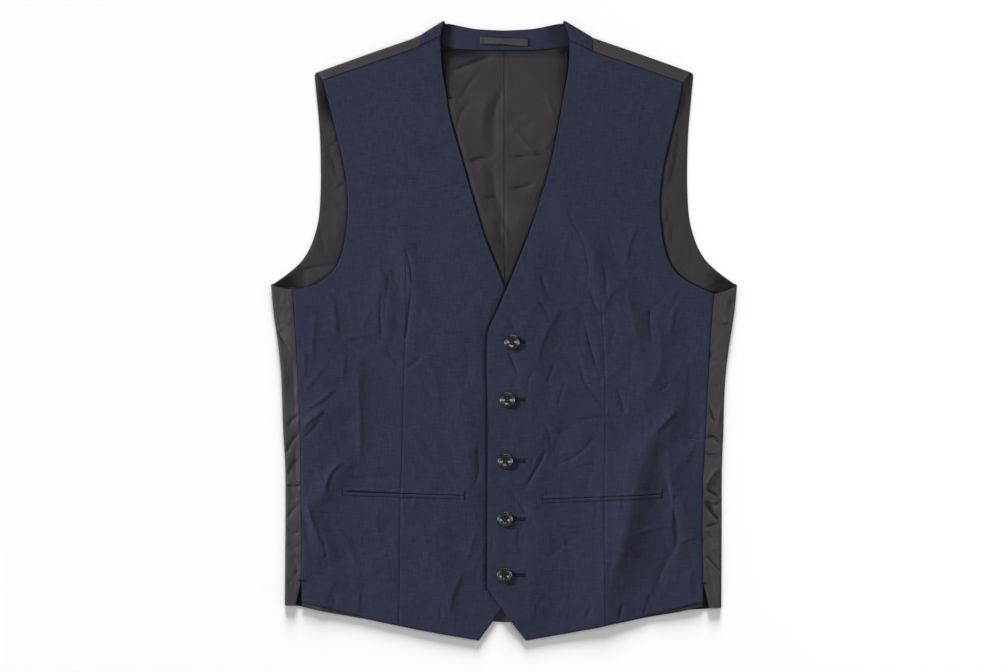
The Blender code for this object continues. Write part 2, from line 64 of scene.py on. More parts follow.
# Place to the side of the garment, or past its neck or hem, and watts.
SHEEN_LIGHTS = {"left sheen light": (-1.6, 14.0), "right sheen light": (1.6, 16.0)}
SIDE_SOFTBOXES = {"left softbox": (-1.5, 4.2), "right softbox": (1.5, 7.0)}
END_SOFTBOXES = {"neck softbox": (1.7, 1.5), "hem softbox": (-1.7, 12.5)}
SOFTBOX_HEIGHT = 1.5
SHEEN_HEIGHT = 1.7
SENSOR_WIDTH = 36.0
CAMERA_HEIGHT = 2.6
CLOTH_LEVEL = 0.004
VIEW_WIDTH = 1.0584
VIEW_CENTRE = -0.0042


def add_object(name, data):
    made = bpy.data.objects.new(name, data)
    bpy.context.scene.collection.objects.link(made)
    return made


def new_material(name):
    """A material with its node tree and its shader."""
    made = bpy.data.materials.new(name)
    made.use_nodes = True
    return made, made.node_tree, made.node_tree.nodes["Principled BSDF"]


def feed(tree, node, values):
    """Sets a node's named inputs, each to a value or to another node's output."""
    for name, value in values.items():
        if isinstance(value, bpy.types.NodeSocket):
            tree.links.new(value, node.inputs[name])
        else:
            node.inputs[name].default_value = value


def lay_floor():
    """A broad sheet of pale paper."""
    bpy.ops.mesh.primitive_plane_add(size=PAPER_WIDTH, location=(0.0, 0.0, 0.0))
    floor = bpy.context.object
    floor.name = "studio_floor"
    paper, tree, shader = new_material("pale floor")
    feed(tree, shader, {"Base Color": PAPER_TONE, "Roughness": 0.95, "Specular IOR Level": 0.05})
    floor.data.materials.append(paper)
    return floor


def hang_light(name, kind, place, energy, **settings):
    """A light at this place, turned towards the middle of the garment."""
    lamp = bpy.data.lights.new(name, kind)
    lamp.energy = energy
    for key, value in settings.items():
        setattr(lamp, key, value)
    hung = add_object(name, lamp)
    hung.location = place
    hung.rotation_euler = (Vector() - Vector(place)).to_track_quat("-Z", "Y").to_euler()
    return hung


def flag(lamp, state, things):
    """Keeps a light off some things (EXCLUDE) or on them alone (INCLUDE), as flags on stands do."""
    flagged = bpy.data.collections.new(f"flags of the {lamp.name}")
    lamp.light_linking.receiver_collection = flagged
    set_behind_flag(lamp, state, things)


def set_behind_flag(lamp, state, things):
    """Adds things to those that a flagged light is kept off or on."""
    flagged = lamp.light_linking.receiver_collection
    for thing in things:
        flagged.objects.link(thing)
    for entry in flagged.collection_objects:
        entry.light_linking.link_state = state


def hang_softbox(name, place, across, along, watts):
    return hang_light(name, "AREA", place, watts, shape="RECTANGLE", size=across, size_y=along)


def set_up_lights(floor):
    """All lights but those for the buttons. The ones on the cloth alone are given back."""
    along, up = math.cos(RAKING_HEIGHT), math.sin(RAKING_HEIGHT)
    place = (0.0, RAKING_DISTANCE * along, RAKING_DISTANCE * up)
    raking = hang_light("raking light", "SUN", place, RAKING_STRENGTH, angle=RAKING_SPREAD)
    flag(raking, "INCLUDE", [floor])
    for name, (across, watts) in SIDE_SOFTBOXES.items():
        hang_softbox(name, (across, 0.2, SOFTBOX_HEIGHT), 0.3, 1.6, watts)
    cloth_lights = []
    for name, (along, watts) in END_SOFTBOXES.items():
        cloth_lights.append(hang_softbox(name, (0.0, along, SOFTBOX_HEIGHT), 1.6, 0.5, watts))
    for name, (across, watts) in SHEEN_LIGHTS.items():
        cloth_lights.append(hang_softbox(name, (across, 0.6, SHEEN_HEIGHT), 0.4, 0.6, watts))
        cloth_lights[-1].visible_diffuse = False
    key = hang_light("key light", "AREA", KEY_PLACE, KEY_WATTS, shape="DISK", size=KEY_WIDTH)
    key.visible_glossy = False
    cloth_lights.append(key)
    for light in cloth_lights:
        flag(light, "EXCLUDE", [floor])
    world = bpy.data.worlds.new("studio")
    world.use_nodes = True
    room = world.node_tree.nodes["Background"]
    feed(world.node_tree, room, {"Color": (1.0, 1.0, 1.0, 1.0), "Strength": ROOM_STRENGTH})
    bpy.context.scene.world = world
    bpy.context.scene.view_settings.view_transform = "Standard"
    return cloth_lights


def set_up_camera():
    lens = bpy.data.cameras.new("camera")
    lens.sensor_width = SENSOR_WIDTH
    lens.lens = SENSOR_WIDTH * CAMERA_HEIGHT / VIEW_WIDTH
    camera = add_object("camera", lens)
    camera.location = (0.0, VIEW_CENTRE, CAMERA_HEIGHT + CLOTH_LEVEL)
    bpy.context.scene.camera = camera


CLOTH_LIGHTS = set_up_lights(lay_floor())
set_up_camera()

# ----------------------------------------
# Back. Two halves of dull charcoal satin, lined with the same, joined down the centre. Each half
# turns forward round the side to the side seam, and over the shoulder to the shoulder seam. Loose
# on its lining, the satin lies in soft diagonal wrinkles and puckers along the side strips.
# ----------------------------------------
MM = 0.001
FRONT_LENGTH = 648.0
HALF_CHEST = 245.0
BACK_WALL = 1.2
SEAM_GAP = 0.3
CENTRE_GAP = 0.1
UNDER_BAND = 1.2
FOLD_RADIUS = 2.5
BACK_MID = BACK_WALL / 2
FOLDED_MID = BACK_MID + 2 * FOLD_RADIUS
FOLD_SETBACK = FOLD_RADIUS + BACK_WALL / 2
BEND_LENGTH = math.pi * FOLD_RADIUS

Point = namedtuple("Point", "out height")
Side = namedtuple("Side", "name sign underarm hem_at_fold band_end shoulder_flap shoulder_end")
EdgeRow = namedtuple("EdgeRow", "height right left")


def rows_of(kind, *rows):
    """A table whose rows are all of one kind."""
    return [kind(*row) for row in rows]


RIGHT = Side("right", -1, Point(222.4, 368.8), 37.0, 87.0, 11.5, 190.0)
LEFT = Side("left", 1, Point(220.4, 364.0), 34.2, 93.0, 14.5, 188.0)

SIDE_FOLD = rows_of(
    EdgeRow,
    (30.0, 230.4, 228.3), (117.0, 229.7, 228.7), (180.0, 229.8, 228.9), (222.0, 232.1, 230.6),
    (255.0, 233.2, 231.4), (280.0, 234.2, 233.0), (300.0, 236.0, 235.2), (320.0, 238.5, 238.0),
    (347.0, 242.4, 242.2), (371.0, HALF_CHEST, HALF_CHEST),
)
SIDE_SEAM = rows_of(
    EdgeRow,
    (30.0, 212.4, 209.3), (63.0, 212.6, 209.0), (117.0, 212.6, 207.8), (168.0, 213.0, 208.8),
    (219.0, 213.9, 211.8), (276.0, 216.2, 214.4), (320.0, 218.8, 216.9), (345.0, 220.8, 218.9),
)
BACK_ARMHOLE = rows_of(
    Point,
    (241.9, 374.6), (230.0, 383.0), (221.5, 389.8), (213.0, 398.0), (206.0, 408.5), (200.5, 421.0),
    (195.0, 442.0), (192.8, 470.0), (192.6, 503.0), (193.8, 537.0), (196.8, 571.0), (199.0, 593.8),
)
SHOULDER_FOLD = rows_of(
    Point,
    (62.0, FRONT_LENGTH), (86.0, 637.0), (98.0, 631.5), (130.0, 620.5), (166.0, 608.0), (198.0, 597.0),
)
BAND_SEAM = rows_of(
    Point,
    (0.0, 620.0), (35.0, 620.4), (62.0, 623.5),
)
BACK_HEM_CENTRE = 18.9
VENT_HEIGHT = 27.0
VENT_GAPE = 6.0
NECK_HALF_WIDTH = 66.0
UNDERARM_DROP_REACH = 100.0
# Distances from the centre between which the back's top edge comes out from under the band.
UNDER_BAND_ENDS = (48.0, 70.0)
# How far inside a front's edge a place that isn't open to view is taken to be.
WELL_UNDER = -9.0

# Wrinkles. Each row is a crease: the (out, height) points of its line, its width, its rise, which is
# below zero for a trough, and its lean, which makes one flank steeper than the other.
BACK_NECK_CREASES = [
    ([(-62, 596), (-51, 600), (-38, 605), (-23, 611), (-7, 615)], 2.6, -1.9, 0.6),
    ([(-55, 592), (-40, 598), (-21, 603)], 4.5, 0.7, -0.4),
    ([(-60, 572), (-51, 570), (-43, 570)], 1.2, -0.9, 0.5),
    ([(-27, 596), (-36, 586), (-42, 576), (-45, 564)], 1.5, -0.8, -0.4),
    ([(-30, 566), (-44, 557), (-49, 541), (-50, 529)], 1.4, -0.9, -0.4),
    ([(3, 589), (-4, 574), (-11, 557), (-13, 536), (-11, 517), (-8, 505)], 5.0, -2.4, -0.4),
    ([(-14, 577), (-22, 549), (-22, 517)], 6.0, 1.1, 0.4),
    ([(-40, 500), (-32, 504), (-23, 507), (-10, 508)], 1.4, -1.6, 0.5),
    ([(-12, 503), (-12, 482), (-10, 469), (-5, 454), (-1, 441), (6, 428)], 4.2, -2.0, -0.4),
    ([(-23, 506), (-21, 482), (-19, 460)], 5.0, 1.1, 0.4),
    ([(-16, 452), (-10, 432), (-4, 414)], 4.6, 0.9, 0.4),
    ([(-24, 467), (-15, 465), (-2, 466)], 1.4, -2.0, 0.5),
    ([(3, 507), (17, 508), (27, 510), (39, 509), (50, 504)], 1.5, -1.6, 0.5),
    ([(14, 533), (22, 524), (29, 516), (38, 511)], 1.6, 1.0, 0.5),
    ([(5, 474), (17, 476), (25, 478), (34, 482)], 1.5, -1.7, 0.5),
    ([(25, 472), (29, 463), (27, 449)], 1.8, -0.8, -0.4),
    ([(44, 576), (50, 561), (56, 546)], 1.5, 0.9, 0.4),
    ([(41, 479), (36, 465), (30, 450)], 1.8, -1.0, -0.4), ([(0, 437), (3, 423), (7, 411)], 1.3, 0.8, 0.4),
    ([(-5, 387), (4, 389)], 1.2, -0.9, 0.5), ([(-29, 467), (-35, 464)], 1.2, -0.7, -0.4),
    ([(19, 459), (17, 444), (13, 429)], 5.0, 0.6, 0.4),
    ([(-8, 444), (-3, 425), (3, 408)], 4.2, -1.3, -0.4),
    ([(55, 538), (46, 520), (39, 513)], 2.2, 0.8, 0.4),
    ([(27, 599), (43, 580), (46, 557)], 6.0, 0.5, 0.4),
    ([(3, 547), (19, 540), (32, 547)], 4.0, -0.5, 0.4),
]
STRIP_PUCKERS = {
    "right": [
        ([(242, 351), (238, 328), (232, 315), (222, 309)], 2.2, -1.7, 0.4),
        ([(237, 345), (234, 326), (227, 318)], 2.0, -1.0, 0.4),
        ([(226, 366), (223, 345), (226, 328)], 2.4, 0.7, -0.4),
        ([(232, 303), (225, 282), (226, 253)], 3.4, -0.9, 0.4),
        ([(221, 300), (221, 268), (219, 232)], 5.0, -1.5, 0.3),
        ([(217, 212), (219, 190), (218, 166)], 5.0, -1.4, 0.3),
        ([(228, 223), (222, 233), (213, 238)], 1.5, -1.3, -0.5),
        ([(212, 221), (220, 213), (227, 202), (229, 190)], 2.6, -1.7, 0.5),
        ([(214, 194), (223, 183), (228, 169)], 2.2, -1.3, 0.4),
        ([(230, 164), (222, 162), (212, 164)], 1.4, -1.4, -0.5),
        ([(229, 158), (224, 156), (218, 146)], 2.2, -1.0, 0.4),
        ([(214, 144), (223, 136), (228, 126)], 1.8, -1.1, 0.4),
        ([(229, 120), (222, 113), (212, 117)], 1.5, -1.2, -0.5),
        ([(227, 105), (220, 98), (213, 102)], 1.7, -0.9, -0.4),
        ([(223, 89), (218, 76), (220, 66)], 2.0, -0.8, 0.4),
        ([(228, 58), (222, 64), (216, 55)], 1.8, -0.7, -0.4),
    ],
    "left": [
        ([(243, 366), (235, 345), (234, 324)], 2.6, -0.8, -0.4),
        ([(223, 339), (231, 334), (239, 339)], 2.2, 0.7, -0.4),
        ([(218, 288), (225, 295), (234, 290)], 2.6, -0.6, 0.4),
        ([(215, 250), (218, 238), (224, 225)], 1.6, -1.2, -0.4),
        ([(229, 248), (226, 236), (224, 225)], 1.6, 0.9, 0.4),
        ([(210, 210), (218, 215), (226, 210), (230, 202)], 1.6, -1.4, 0.5),
        ([(210, 198), (218, 195), (230, 194)], 1.4, -1.2, 0.5),
        ([(230, 185), (219, 174), (213, 164), (210, 159)], 2.0, 1.3, 0.6),
        ([(211, 160), (218, 156), (229, 150)], 1.5, -1.6, -0.5),
        ([(209, 149), (216, 139), (224, 129), (230, 122)], 2.6, -2.0, -0.5),
        ([(213, 148), (220, 142), (229, 147)], 1.8, -1.2, 0.4),
        ([(210, 118), (218, 122), (230, 123)], 1.5, -1.2, 0.5),
        ([(212, 116), (217, 110), (223, 98)], 1.8, -0.8, -0.4),
        ([(210, 90), (217, 85), (225, 76), (230, 69)], 1.6, -1.3, -0.5),
        ([(211, 82), (216, 68), (220, 53), (223, 39)], 2.2, -0.7, -0.4),
    ],
}
STRIP_FULLNESS = {"right": 1.5, "left": 2.2}
ARMHOLE_CREASES = {
    "right": [
        ([(193, 580), (188, 563), (183, 549)], 2.0, -0.9, 0.4),
        ([(193, 538), (185, 534), (175, 536)], 1.8, -0.7, -0.4),
        ([(186, 519), (182, 508), (177, 494), (174, 482)], 1.4, -1.1, 0.5),
        ([(187, 516), (181, 521), (173, 525)], 1.4, -0.9, -0.5),
        ([(177, 474), (171, 478), (165, 482)], 1.4, -1.1, -0.5),
        ([(177, 460), (171, 457), (164, 457)], 1.6, -0.8, -0.4),
        ([(194, 435), (191, 417), (186, 401)], 2.0, -0.9, 0.5),
        ([(183, 450), (174, 437), (176, 416)], 4.5, 0.7, -0.4),
        ([(217, 386), (205, 391), (192, 393), (178, 395), (171, 402)], 1.6, -1.5, -0.5),
        ([(216, 400), (213, 391), (209, 381)], 1.6, -1.0, 0.4),
        ([(211, 389), (211, 379), (212, 370)], 2.0, -0.8, 0.4),
        ([(235, 374), (225, 383), (216, 385)], 2.4, 0.8, 0.4),
    ],
    "left": [
        ([(193, 584), (188, 570), (183, 536), (180, 510), (173, 482), (167, 454)], 1.7, -1.3, -0.5),
        ([(186, 555), (184, 526), (181, 505)], 3.0, 0.7, 0.4),
        ([(163, 453), (170, 450), (172, 442), (164, 436)], 1.5, -1.0, -0.5),
        ([(177, 440), (175, 421), (170, 403)], 1.4, -1.0, -0.5),
        ([(184, 425), (183, 404), (177, 385)], 2.4, 0.6, 0.4),
        ([(195, 425), (197, 408), (196, 389)], 1.8, -0.6, -0.4),
        ([(189, 515), (188, 489), (190, 463)], 3.4, -0.6, -0.4),
        ([(213, 370), (222, 373), (233, 380)], 2.0, -1.6, 0.5),
        ([(217, 386), (215, 374)], 1.5, -1.0, -0.4),
        ([(220, 383), (228, 380), (234, 373)], 1.6, -1.0, -0.5),
        ([(197, 372), (207, 369), (215, 368)], 1.6, -1.1, 0.5),
        ([(181, 391), (191, 382), (204, 379)], 2.6, 0.7, 0.4),
    ],
}


def smooth_step(share):
    share = np.clip(share, 0.0, 1.0)
    return share * share * (3 - 2 * share)


def ramp(value, start, end):
    """A smooth change from 0, where a value is at the start or before it, to 1 at the end or past it."""
    return smooth_step((value - start) / (end - start))


CURVE_STEPS = 12


def curve_through(rows):
    """Close-spaced points on a smooth curve through the rows."""
    knots = np.array([tuple(row) for row in rows], float)
    before = np.vstack([2 * knots[0] - knots[1], knots[:-1]])
    after = np.vstack([knots[1:], 2 * knots[-1] - knots[-2]])
    slopes = (after - before) / 2
    points = []
    for k in range(len(knots) - 1):
        for t in np.linspace(0, 1, CURVE_STEPS, endpoint=False):
            points.append(
                (2 * t**3 - 3 * t**2 + 1) * knots[k]
                + (t**3 - 2 * t**2 + t) * slopes[k]
                + (3 * t**2 - 2 * t**3) * knots[k + 1]
                + (t**3 - t**2) * slopes[k + 1]
            )
    points.append(knots[-1])
    return np.array(points)


def evenly(points, cells):
    """The ends of that many equal lengths along a line of points."""
    steps = np.linalg.norm(np.diff(points, axis=0), axis=1)
    along = np.concatenate([[0], np.cumsum(steps)])
    at = np.linspace(0, along[-1], cells + 1)
    return np.column_stack([np.interp(at, along, points[:, k]) for k in range(points.shape[1])])


def one_side(rows, side):
    return [Point(getattr(row, side.name), row.height) for row in rows]


def stretch(line, low, high):
    """The part of a rising line of points between two heights."""
    inside = line[(line[:, 1] > low) & (line[:, 1] < high)]
    ends = [(np.interp(height, line[:, 1], line[:, 0]), height) for height in (low, high)]
    return np.vstack([ends[:1], inside, ends[1:]])


def ladder(*stretches):
    """One line of points from (line, cells) stretches that follow each other."""
    parts = [evenly(line, cells) for line, cells in stretches]
    return np.vstack([parts[0]] + [part[1:] for part in parts[1:]])


def out_at(line, height):
    return np.interp(height, line[:, 1], line[:, 0])


def height_at(line, out):
    return np.interp(out, line[:, 0], line[:, 1])


SIDES = (RIGHT, LEFT)
SIDE_SEAMS = {side.name: curve_through([*one_side(SIDE_SEAM, side), side.underarm]) for side in SIDES}
SHOULDER_LINE = curve_through(SHOULDER_FOLD)


def shoulder_seam_height(side, out):
    return height_at(SHOULDER_LINE, np.maximum(out, SHOULDER_FOLD[0].out)) - side.shoulder_flap


def band_seam_line(side, cells):
    end = Point(side.band_end, float(height_at(SHOULDER_LINE, side.band_end)) - FOLD_SETBACK)
    return evenly(curve_through([*BAND_SEAM, end]), cells)


def past_fold(length):
    """Plan distance past the start of a fold, and lift, of cloth this far past it."""
    turn = min(max(length / FOLD_RADIUS, 0.0), math.pi)
    back = max(length - BEND_LENGTH, 0.0)
    return FOLD_RADIUS * math.sin(turn) - back, BACK_MID + FOLD_RADIUS * (1 - math.cos(turn))


CREASE_EDGE = 0.6
CREASE_REACH = 4.0
CREASE_FADE = 0.3
# How many waves cross in uneven cloth, and the share of ridges, the bow and the lean of faint creases.
WAVES = 7
RIDGE_SHARE = 0.55
FAINT_BOW = 0.12
FAINT_LEAN = 0.4


def crease_relief(out, height, creases):
    """How far a table of creases raises or lowers the cloth at each place. Each fades out at both
    ends and has a soft sharp line."""
    total = np.zeros_like(out)
    for points, width, rise, lean in creases:
        line = np.array(points, float)
        if len(line) > 2:
            line = evenly(curve_through(line), 3 * len(line))
        runs = np.diff(line, axis=0)
        lengths = np.linalg.norm(runs, axis=1)
        starts = np.concatenate([[0], np.cumsum(lengths)])
        reach = CREASE_REACH * width * (1 + abs(lean))
        near = (
            (out > line[:, 0].min() - reach) & (out < line[:, 0].max() + reach)
            & (height > line[:, 1].min() - reach) & (height < line[:, 1].max() + reach)
        )
        if not near.any():
            continue
        place = np.column_stack([out[near], height[near]])
        best = np.full(len(place), np.inf)
        aside = np.zeros(len(place))
        along = np.zeros(len(place))
        for start, run, length, done in zip(line, runs, lengths, starts):
            offset = place - start
            t = np.clip(offset @ run / length**2, 0, 1)
            gap = np.linalg.norm(offset - t[:, None] * run, axis=1)
            cross = (run[0] * offset[:, 1] - run[1] * offset[:, 0]) / length
            closer = gap < best
            best = np.where(closer, gap, best)
            aside = np.where(closer, np.sign(cross) * gap, aside)
            along = np.where(closer, (done + t * length) / starts[-1], along)
        flank = width * np.where(aside > 0, 1 - lean, 1 + lean)
        fade = smooth_step(along / CREASE_FADE) * smooth_step((1 - along) / CREASE_FADE)
        rounded = np.sqrt(aside**2 + CREASE_EDGE**2) - CREASE_EDGE
        total[near] += rise * np.exp(-rounded / flank) * fade * smooth_step(2 - 2 * best / reach)
    return total


def soft_waves(out, height, seed, wavelength, rise):
    """Gentle unevenness: a few crossing waves of random direction."""
    draw = np.random.default_rng(seed)
    total = np.zeros_like(out)
    for _ in range(WAVES):
        angle = draw.uniform(0, math.pi)
        size = wavelength * draw.uniform(0.7, 1.6)
        phase = draw.uniform(0, 2 * math.pi)
        total += np.sin(2 * math.pi * (out * math.cos(angle) + height * math.sin(angle)) / size + phase)
    return total * rise / WAVES


def random_creases(seed, count, box, length, width, rise, steepness):
    """A scatter of short faint creases inside (out0, height0, out1, height1). Most are ridges."""
    draw = np.random.default_rng(seed)
    rows = []
    for _ in range(count):
        out = draw.uniform(box[0], box[2])
        height = draw.uniform(box[1], box[3])
        angle = draw.normal(math.pi / 2, steepness)
        half = draw.uniform(*length) / 2
        bow = draw.normal(0, FAINT_BOW) * half
        dx, dy = math.cos(angle) * half, math.sin(angle) * half
        middle = (out - dy / half * bow, height + dx / half * bow)
        points = [(out - dx, height - dy), middle, (out + dx, height + dy)]
        sign = 1 if draw.random() < RIDGE_SHARE else -1
        size = draw.uniform(*width), sign * draw.uniform(*rise)
        rows.append((points, *size, draw.uniform(-FAINT_LEAN, FAINT_LEAN)))
    return rows


def grid_cells(present, step=1):
    """Corner numbers of a grid's cells, taking every step-th row and column."""
    number = np.full(present.shape, -1)
    number[present] = np.arange(present.sum())
    number = number[::step, ::step]
    corners = np.stack([number[:-1, :-1], number[:-1, 1:], number[1:, 1:], number[1:, :-1]], axis=-1)
    return corners[(corners >= 0).all(axis=-1)]


def open_edges(cells, count):
    """The edges that only one cell has, in the cells' own direction."""
    ends = np.concatenate([cells[:, [k, (k + 1) % 4]] for k in range(4)])
    forward = ends[:, 0] * count + ends[:, 1]
    backward = ends[:, 1] * count + ends[:, 0]
    return ends[~np.isin(forward, backward)]


# Shares of a wall's thickness by which it thins and draws in at its rim, how far its edge bulges, and
# how strongly painted shade darkens its rim.
EDGE_TUCK = 0.18
EDGE_DRAW = 0.2
EDGE_BULGE = 0.08
RIM_PAINTED_SHADE = 0.5
CLOTH_SHARP = math.radians(32)


def cloth_shell(name, mid, thickness, sign, *finishes, upper_relief=None, under_step=1):
    """A closed wall of cloth with rounded edges. A cell with a missing corner is left out. The
    underside may have larger cells, under_step of the upper side's each way."""
    present = ~np.isnan(mid[:, :, 0])
    cells = grid_cells(present)
    points = mid[present]
    count = len(points)
    spans = points[cells]
    facing = np.cross(spans[:, 2] - spans[:, 0], spans[:, 3] - spans[:, 1])
    normals = np.zeros_like(points)
    for k in range(4):
        np.add.at(normals, cells[:, k], facing)
    normals /= np.maximum(np.linalg.norm(normals, axis=1, keepdims=True), 1e-9)
    rim = open_edges(cells, count)
    outward = np.zeros_like(points)
    push = np.cross(points[rim[:, 1]] - points[rim[:, 0]], normals[rim[:, 0]])
    np.add.at(outward, rim[:, 0], push)
    np.add.at(outward, rim[:, 1], push)
    on_rim = np.unique(rim)
    outward[on_rim] /= np.maximum(np.linalg.norm(outward[on_rim], axis=1, keepdims=True), 1e-9)
    tucked = np.zeros(count)
    tucked[on_rim] = EDGE_TUCK * thickness
    half = normals * (thickness / 2 - tucked)[:, None]
    upper = points + half - outward * thickness * EDGE_DRAW
    lower = points - half - outward * thickness * EDGE_DRAW
    if upper_relief is not None:
        upper[:, 2] += upper_relief[present]
    edge = (upper[on_rim] + lower[on_rim]) / 2 + outward[on_rim] * (thickness * EDGE_DRAW + EDGE_BULGE)
    edge_number = np.full(count, -1)
    edge_number[on_rim] = 2 * count + np.arange(len(on_rim))
    under = grid_cells(present, under_step)
    under_rim = open_edges(under, count)
    a, b = rim[:, 0], rim[:, 1]
    faces = cells.tolist() + (under[:, ::-1] + count).tolist()
    faces += np.column_stack([b, a, edge_number[a], edge_number[b]]).tolist()
    after = dict(zip(a.tolist(), b.tolist()))
    for start, end in under_rim.tolist():
        chain = [start]
        while chain[-1] != end:
            chain.append(after[chain[-1]])
        faces.append([int(edge_number[k]) for k in reversed(chain)] + [start + count, end + count])
    everything = np.concatenate([upper, lower, edge])
    everything = everything * [sign, 1, 1] - [0, FRONT_LENGTH / 2, 0]
    used = np.zeros(len(everything), bool)
    used[:count] = True
    used[2 * count:] = True
    used[under.ravel() + count] = True
    renumber = np.cumsum(used) - 1
    if sign < 0:
        faces = [face[::-1] for face in faces]
    mesh = bpy.data.meshes.new(name)
    faces = [[int(renumber[k]) for k in face] for face in faces]
    mesh.from_pydata((everything[used] * MM).tolist(), [], faces)
    mesh.validate()
    mesh.shade_smooth()
    mesh.set_sharp_from_angle(angle=CLOTH_SHARP)
    # Painted shade along every rim: the edge itself is darkened fully, the upper side's last row by half.
    edge_shade = np.zeros(len(everything))
    edge_shade[on_rim] = RIM_PAINTED_SHADE
    edge_shade[2 * count:] = 1.0
    mark(mesh, "painted edge shade", edge_shade[used])
    for finish in finishes:
        mesh.materials.append(finish)
    return add_object(name, mesh)


def mark(mesh, name, values):
    """A value for each of a mesh's first points, for its material to read. The rest get none."""
    everywhere = np.zeros(len(mesh.vertices))
    everywhere[: len(values)] = values
    mesh.attributes.new(name, "FLOAT", "POINT").data.foreach_set("value", everywhere)


def add_node(tree, kind, values=None, **settings):
    """A node with some of its settings and of its inputs given."""
    made = tree.nodes.new(kind)
    for key, value in settings.items():
        setattr(made, key, value)
    feed(tree, made, values or {})
    return made


def math_node(tree, operation, *values):
    """Arithmetic on values and on other nodes' outputs."""
    return add_node(tree, "ShaderNodeMath", dict(enumerate(values)), operation=operation).outputs[0]


def blend(tree, kind, factor, first, second):
    """A mix from a first towards a second colour ("RGBA") or value ("FLOAT")."""
    values = {"Factor": factor, "A": first, "B": second}
    return add_node(tree, "ShaderNodeMix", values, data_type=kind).outputs["Result"]


def noise_at(tree, vector, **values):
    return add_node(tree, "ShaderNodeTexNoise", {"Vector": vector, **values}).outputs["Fac"]


def bumped(tree, height, strength, distance):
    values = {"Height": height, "Strength": strength, "Distance": distance}
    return add_node(tree, "ShaderNodeBump", values).outputs["Normal"]


def garment_place(tree):
    """A point's place on the garment, in metres."""
    return add_node(tree, "ShaderNodeTexCoord").outputs["Object"]


def place_parts(tree):
    """The same place as separate X, Y and Z outputs."""
    return add_node(tree, "ShaderNodeSeparateXYZ", {"Vector": garment_place(tree)}).outputs


def new_group(name, inputs, outputs):
    """A shader node group with named value inputs, given with their usual values, and outputs."""
    group = bpy.data.node_groups.new(name, "ShaderNodeTree")
    for socket_name, value in inputs.items():
        socket = group.interface.new_socket(socket_name, in_out="INPUT", socket_type="NodeSocketFloat")
        socket.default_value = value
    for socket_name in outputs:
        group.interface.new_socket(socket_name, in_out="OUTPUT", socket_type="NodeSocketFloat")
    given = group.nodes.new("NodeGroupInput").outputs
    return group, given, group.nodes.new("NodeGroupOutput")


def stretched_noise(tree, scale_x, scale_y, offset):
    """Noise drawn out along the cloth, from its place on the garment."""
    mapping = add_node(tree, "ShaderNodeMapping", {
        "Vector": garment_place(tree),
        "Location": (offset, offset * 0.37, 0.0),
        "Scale": (scale_x, scale_y, 40.0),
    })
    return noise_at(tree, mapping.outputs["Vector"], Scale=1.0, Detail=2.0)


def make_unevenness():
    """Broad mottling of a dyed cloth: a value round 0.5."""
    group, given, result = new_group("cloth unevenness", {"Size": 18.0}, ["Value"])
    noise = noise_at(group, garment_place(group), Scale=given["Size"], Detail=4.0, Roughness=0.6)
    feed(group, result, {"Value": noise})
    return group


def make_satin_weave():
    """Fine floats of a satin: streaks along the length, and their height for the bump."""
    group, given, result = new_group(
        "satin floats", {"Floats per metre": 2600.0, "Streak": 0.5}, ["Tone", "Height"]
    )
    parts = place_parts(group)
    across = math_node(group, "MULTIPLY", parts["X"], given["Floats per metre"])
    along = math_node(group, "MULTIPLY", parts["Y"], given["Floats per metre"])
    diagonal = math_node(group, "ADD", across, math_node(group, "MULTIPLY", along, 0.21))
    ridge = math_node(group, "SINE", math_node(group, "MULTIPLY", diagonal, 2 * math.pi))
    streaks = stretched_noise(group, 1500.0, 60.0, 3.0)
    raised = math_node(group, "SUBTRACT", streaks, 0.5)
    feed(group, result, {
        "Tone": math_node(group, "MULTIPLY_ADD", raised, given["Streak"], 0.5),
        "Height": math_node(group, "MULTIPLY_ADD", ridge, 0.25, streaks),
    })
    return group


UNEVENNESS = make_unevenness()
SATIN_FLOATS = make_satin_weave()
SATIN_DARK = (0.0150, 0.0134, 0.0150, 1.0)
SATIN_LIGHT = (0.0285, 0.0258, 0.0282, 1.0)
LINING_DARK = (0.0154, 0.0141, 0.0157, 1.0)
LINING_LIGHT = (0.0292, 0.0269, 0.0294, 1.0)
SATIN_PAINTED_SHADE = (0.0020, 0.0019, 0.0022, 1.0)


def place_group(tree, group, **values):
    return add_node(tree, "ShaderNodeGroup", values, node_tree=group).outputs


def darken(tree, colour, attribute, amount, dark):
    """Mixes a colour towards a dark one where the mesh's attribute is marked."""
    marked = add_node(tree, "ShaderNodeAttribute", attribute_name=attribute)
    return blend(tree, "RGBA", math_node(tree, "MULTIPLY", marked.outputs["Fac"], amount), colour, dark)


def make_satin(name, dark, light, gloss=0.28, roughness=0.44, edge=0.75):
    satin, tree, shader = new_material(name)
    floats = place_group(tree, SATIN_FLOATS)
    mottle = place_group(tree, UNEVENNESS, Size=14.0)["Value"]
    mixed = math_node(tree, "MULTIPLY_ADD", mottle, 0.6, floats["Tone"])
    colour = blend(tree, "RGBA", math_node(tree, "SUBTRACT", mixed, 0.3), dark, light)
    # Painted shade: the rims are darkened by the edge share, and the places marked with painted shade
    # fully.
    colour = darken(tree, colour, "painted edge shade", edge, SATIN_PAINTED_SHADE)
    feed(tree, shader, {
        "Base Color": darken(tree, colour, "painted_shade", 1.0, SATIN_PAINTED_SHADE),
        "Roughness": math_node(tree, "MULTIPLY_ADD", mottle, 0.16, roughness),
        "Specular IOR Level": gloss,
        "Sheen Weight": 0.05,
        "Sheen Roughness": 0.4,
        "Normal": bumped(tree, floats["Height"], 0.35, 0.00006),
    })
    return satin


SATIN = make_satin("charcoal satin", SATIN_DARK, SATIN_LIGHT)
LINING = make_satin("charcoal lining", LINING_DARK, LINING_LIGHT, 0.12, 0.44, 0.60)

BACK_CELLS = {"hem": 16, "body": 190, "armhole": 150, "neck": 44, "shoulder": 56, "bend": 10, "flap": 12}
UNDERARM_SHARE = 0.52
UNDERARM_EASE = 30.0


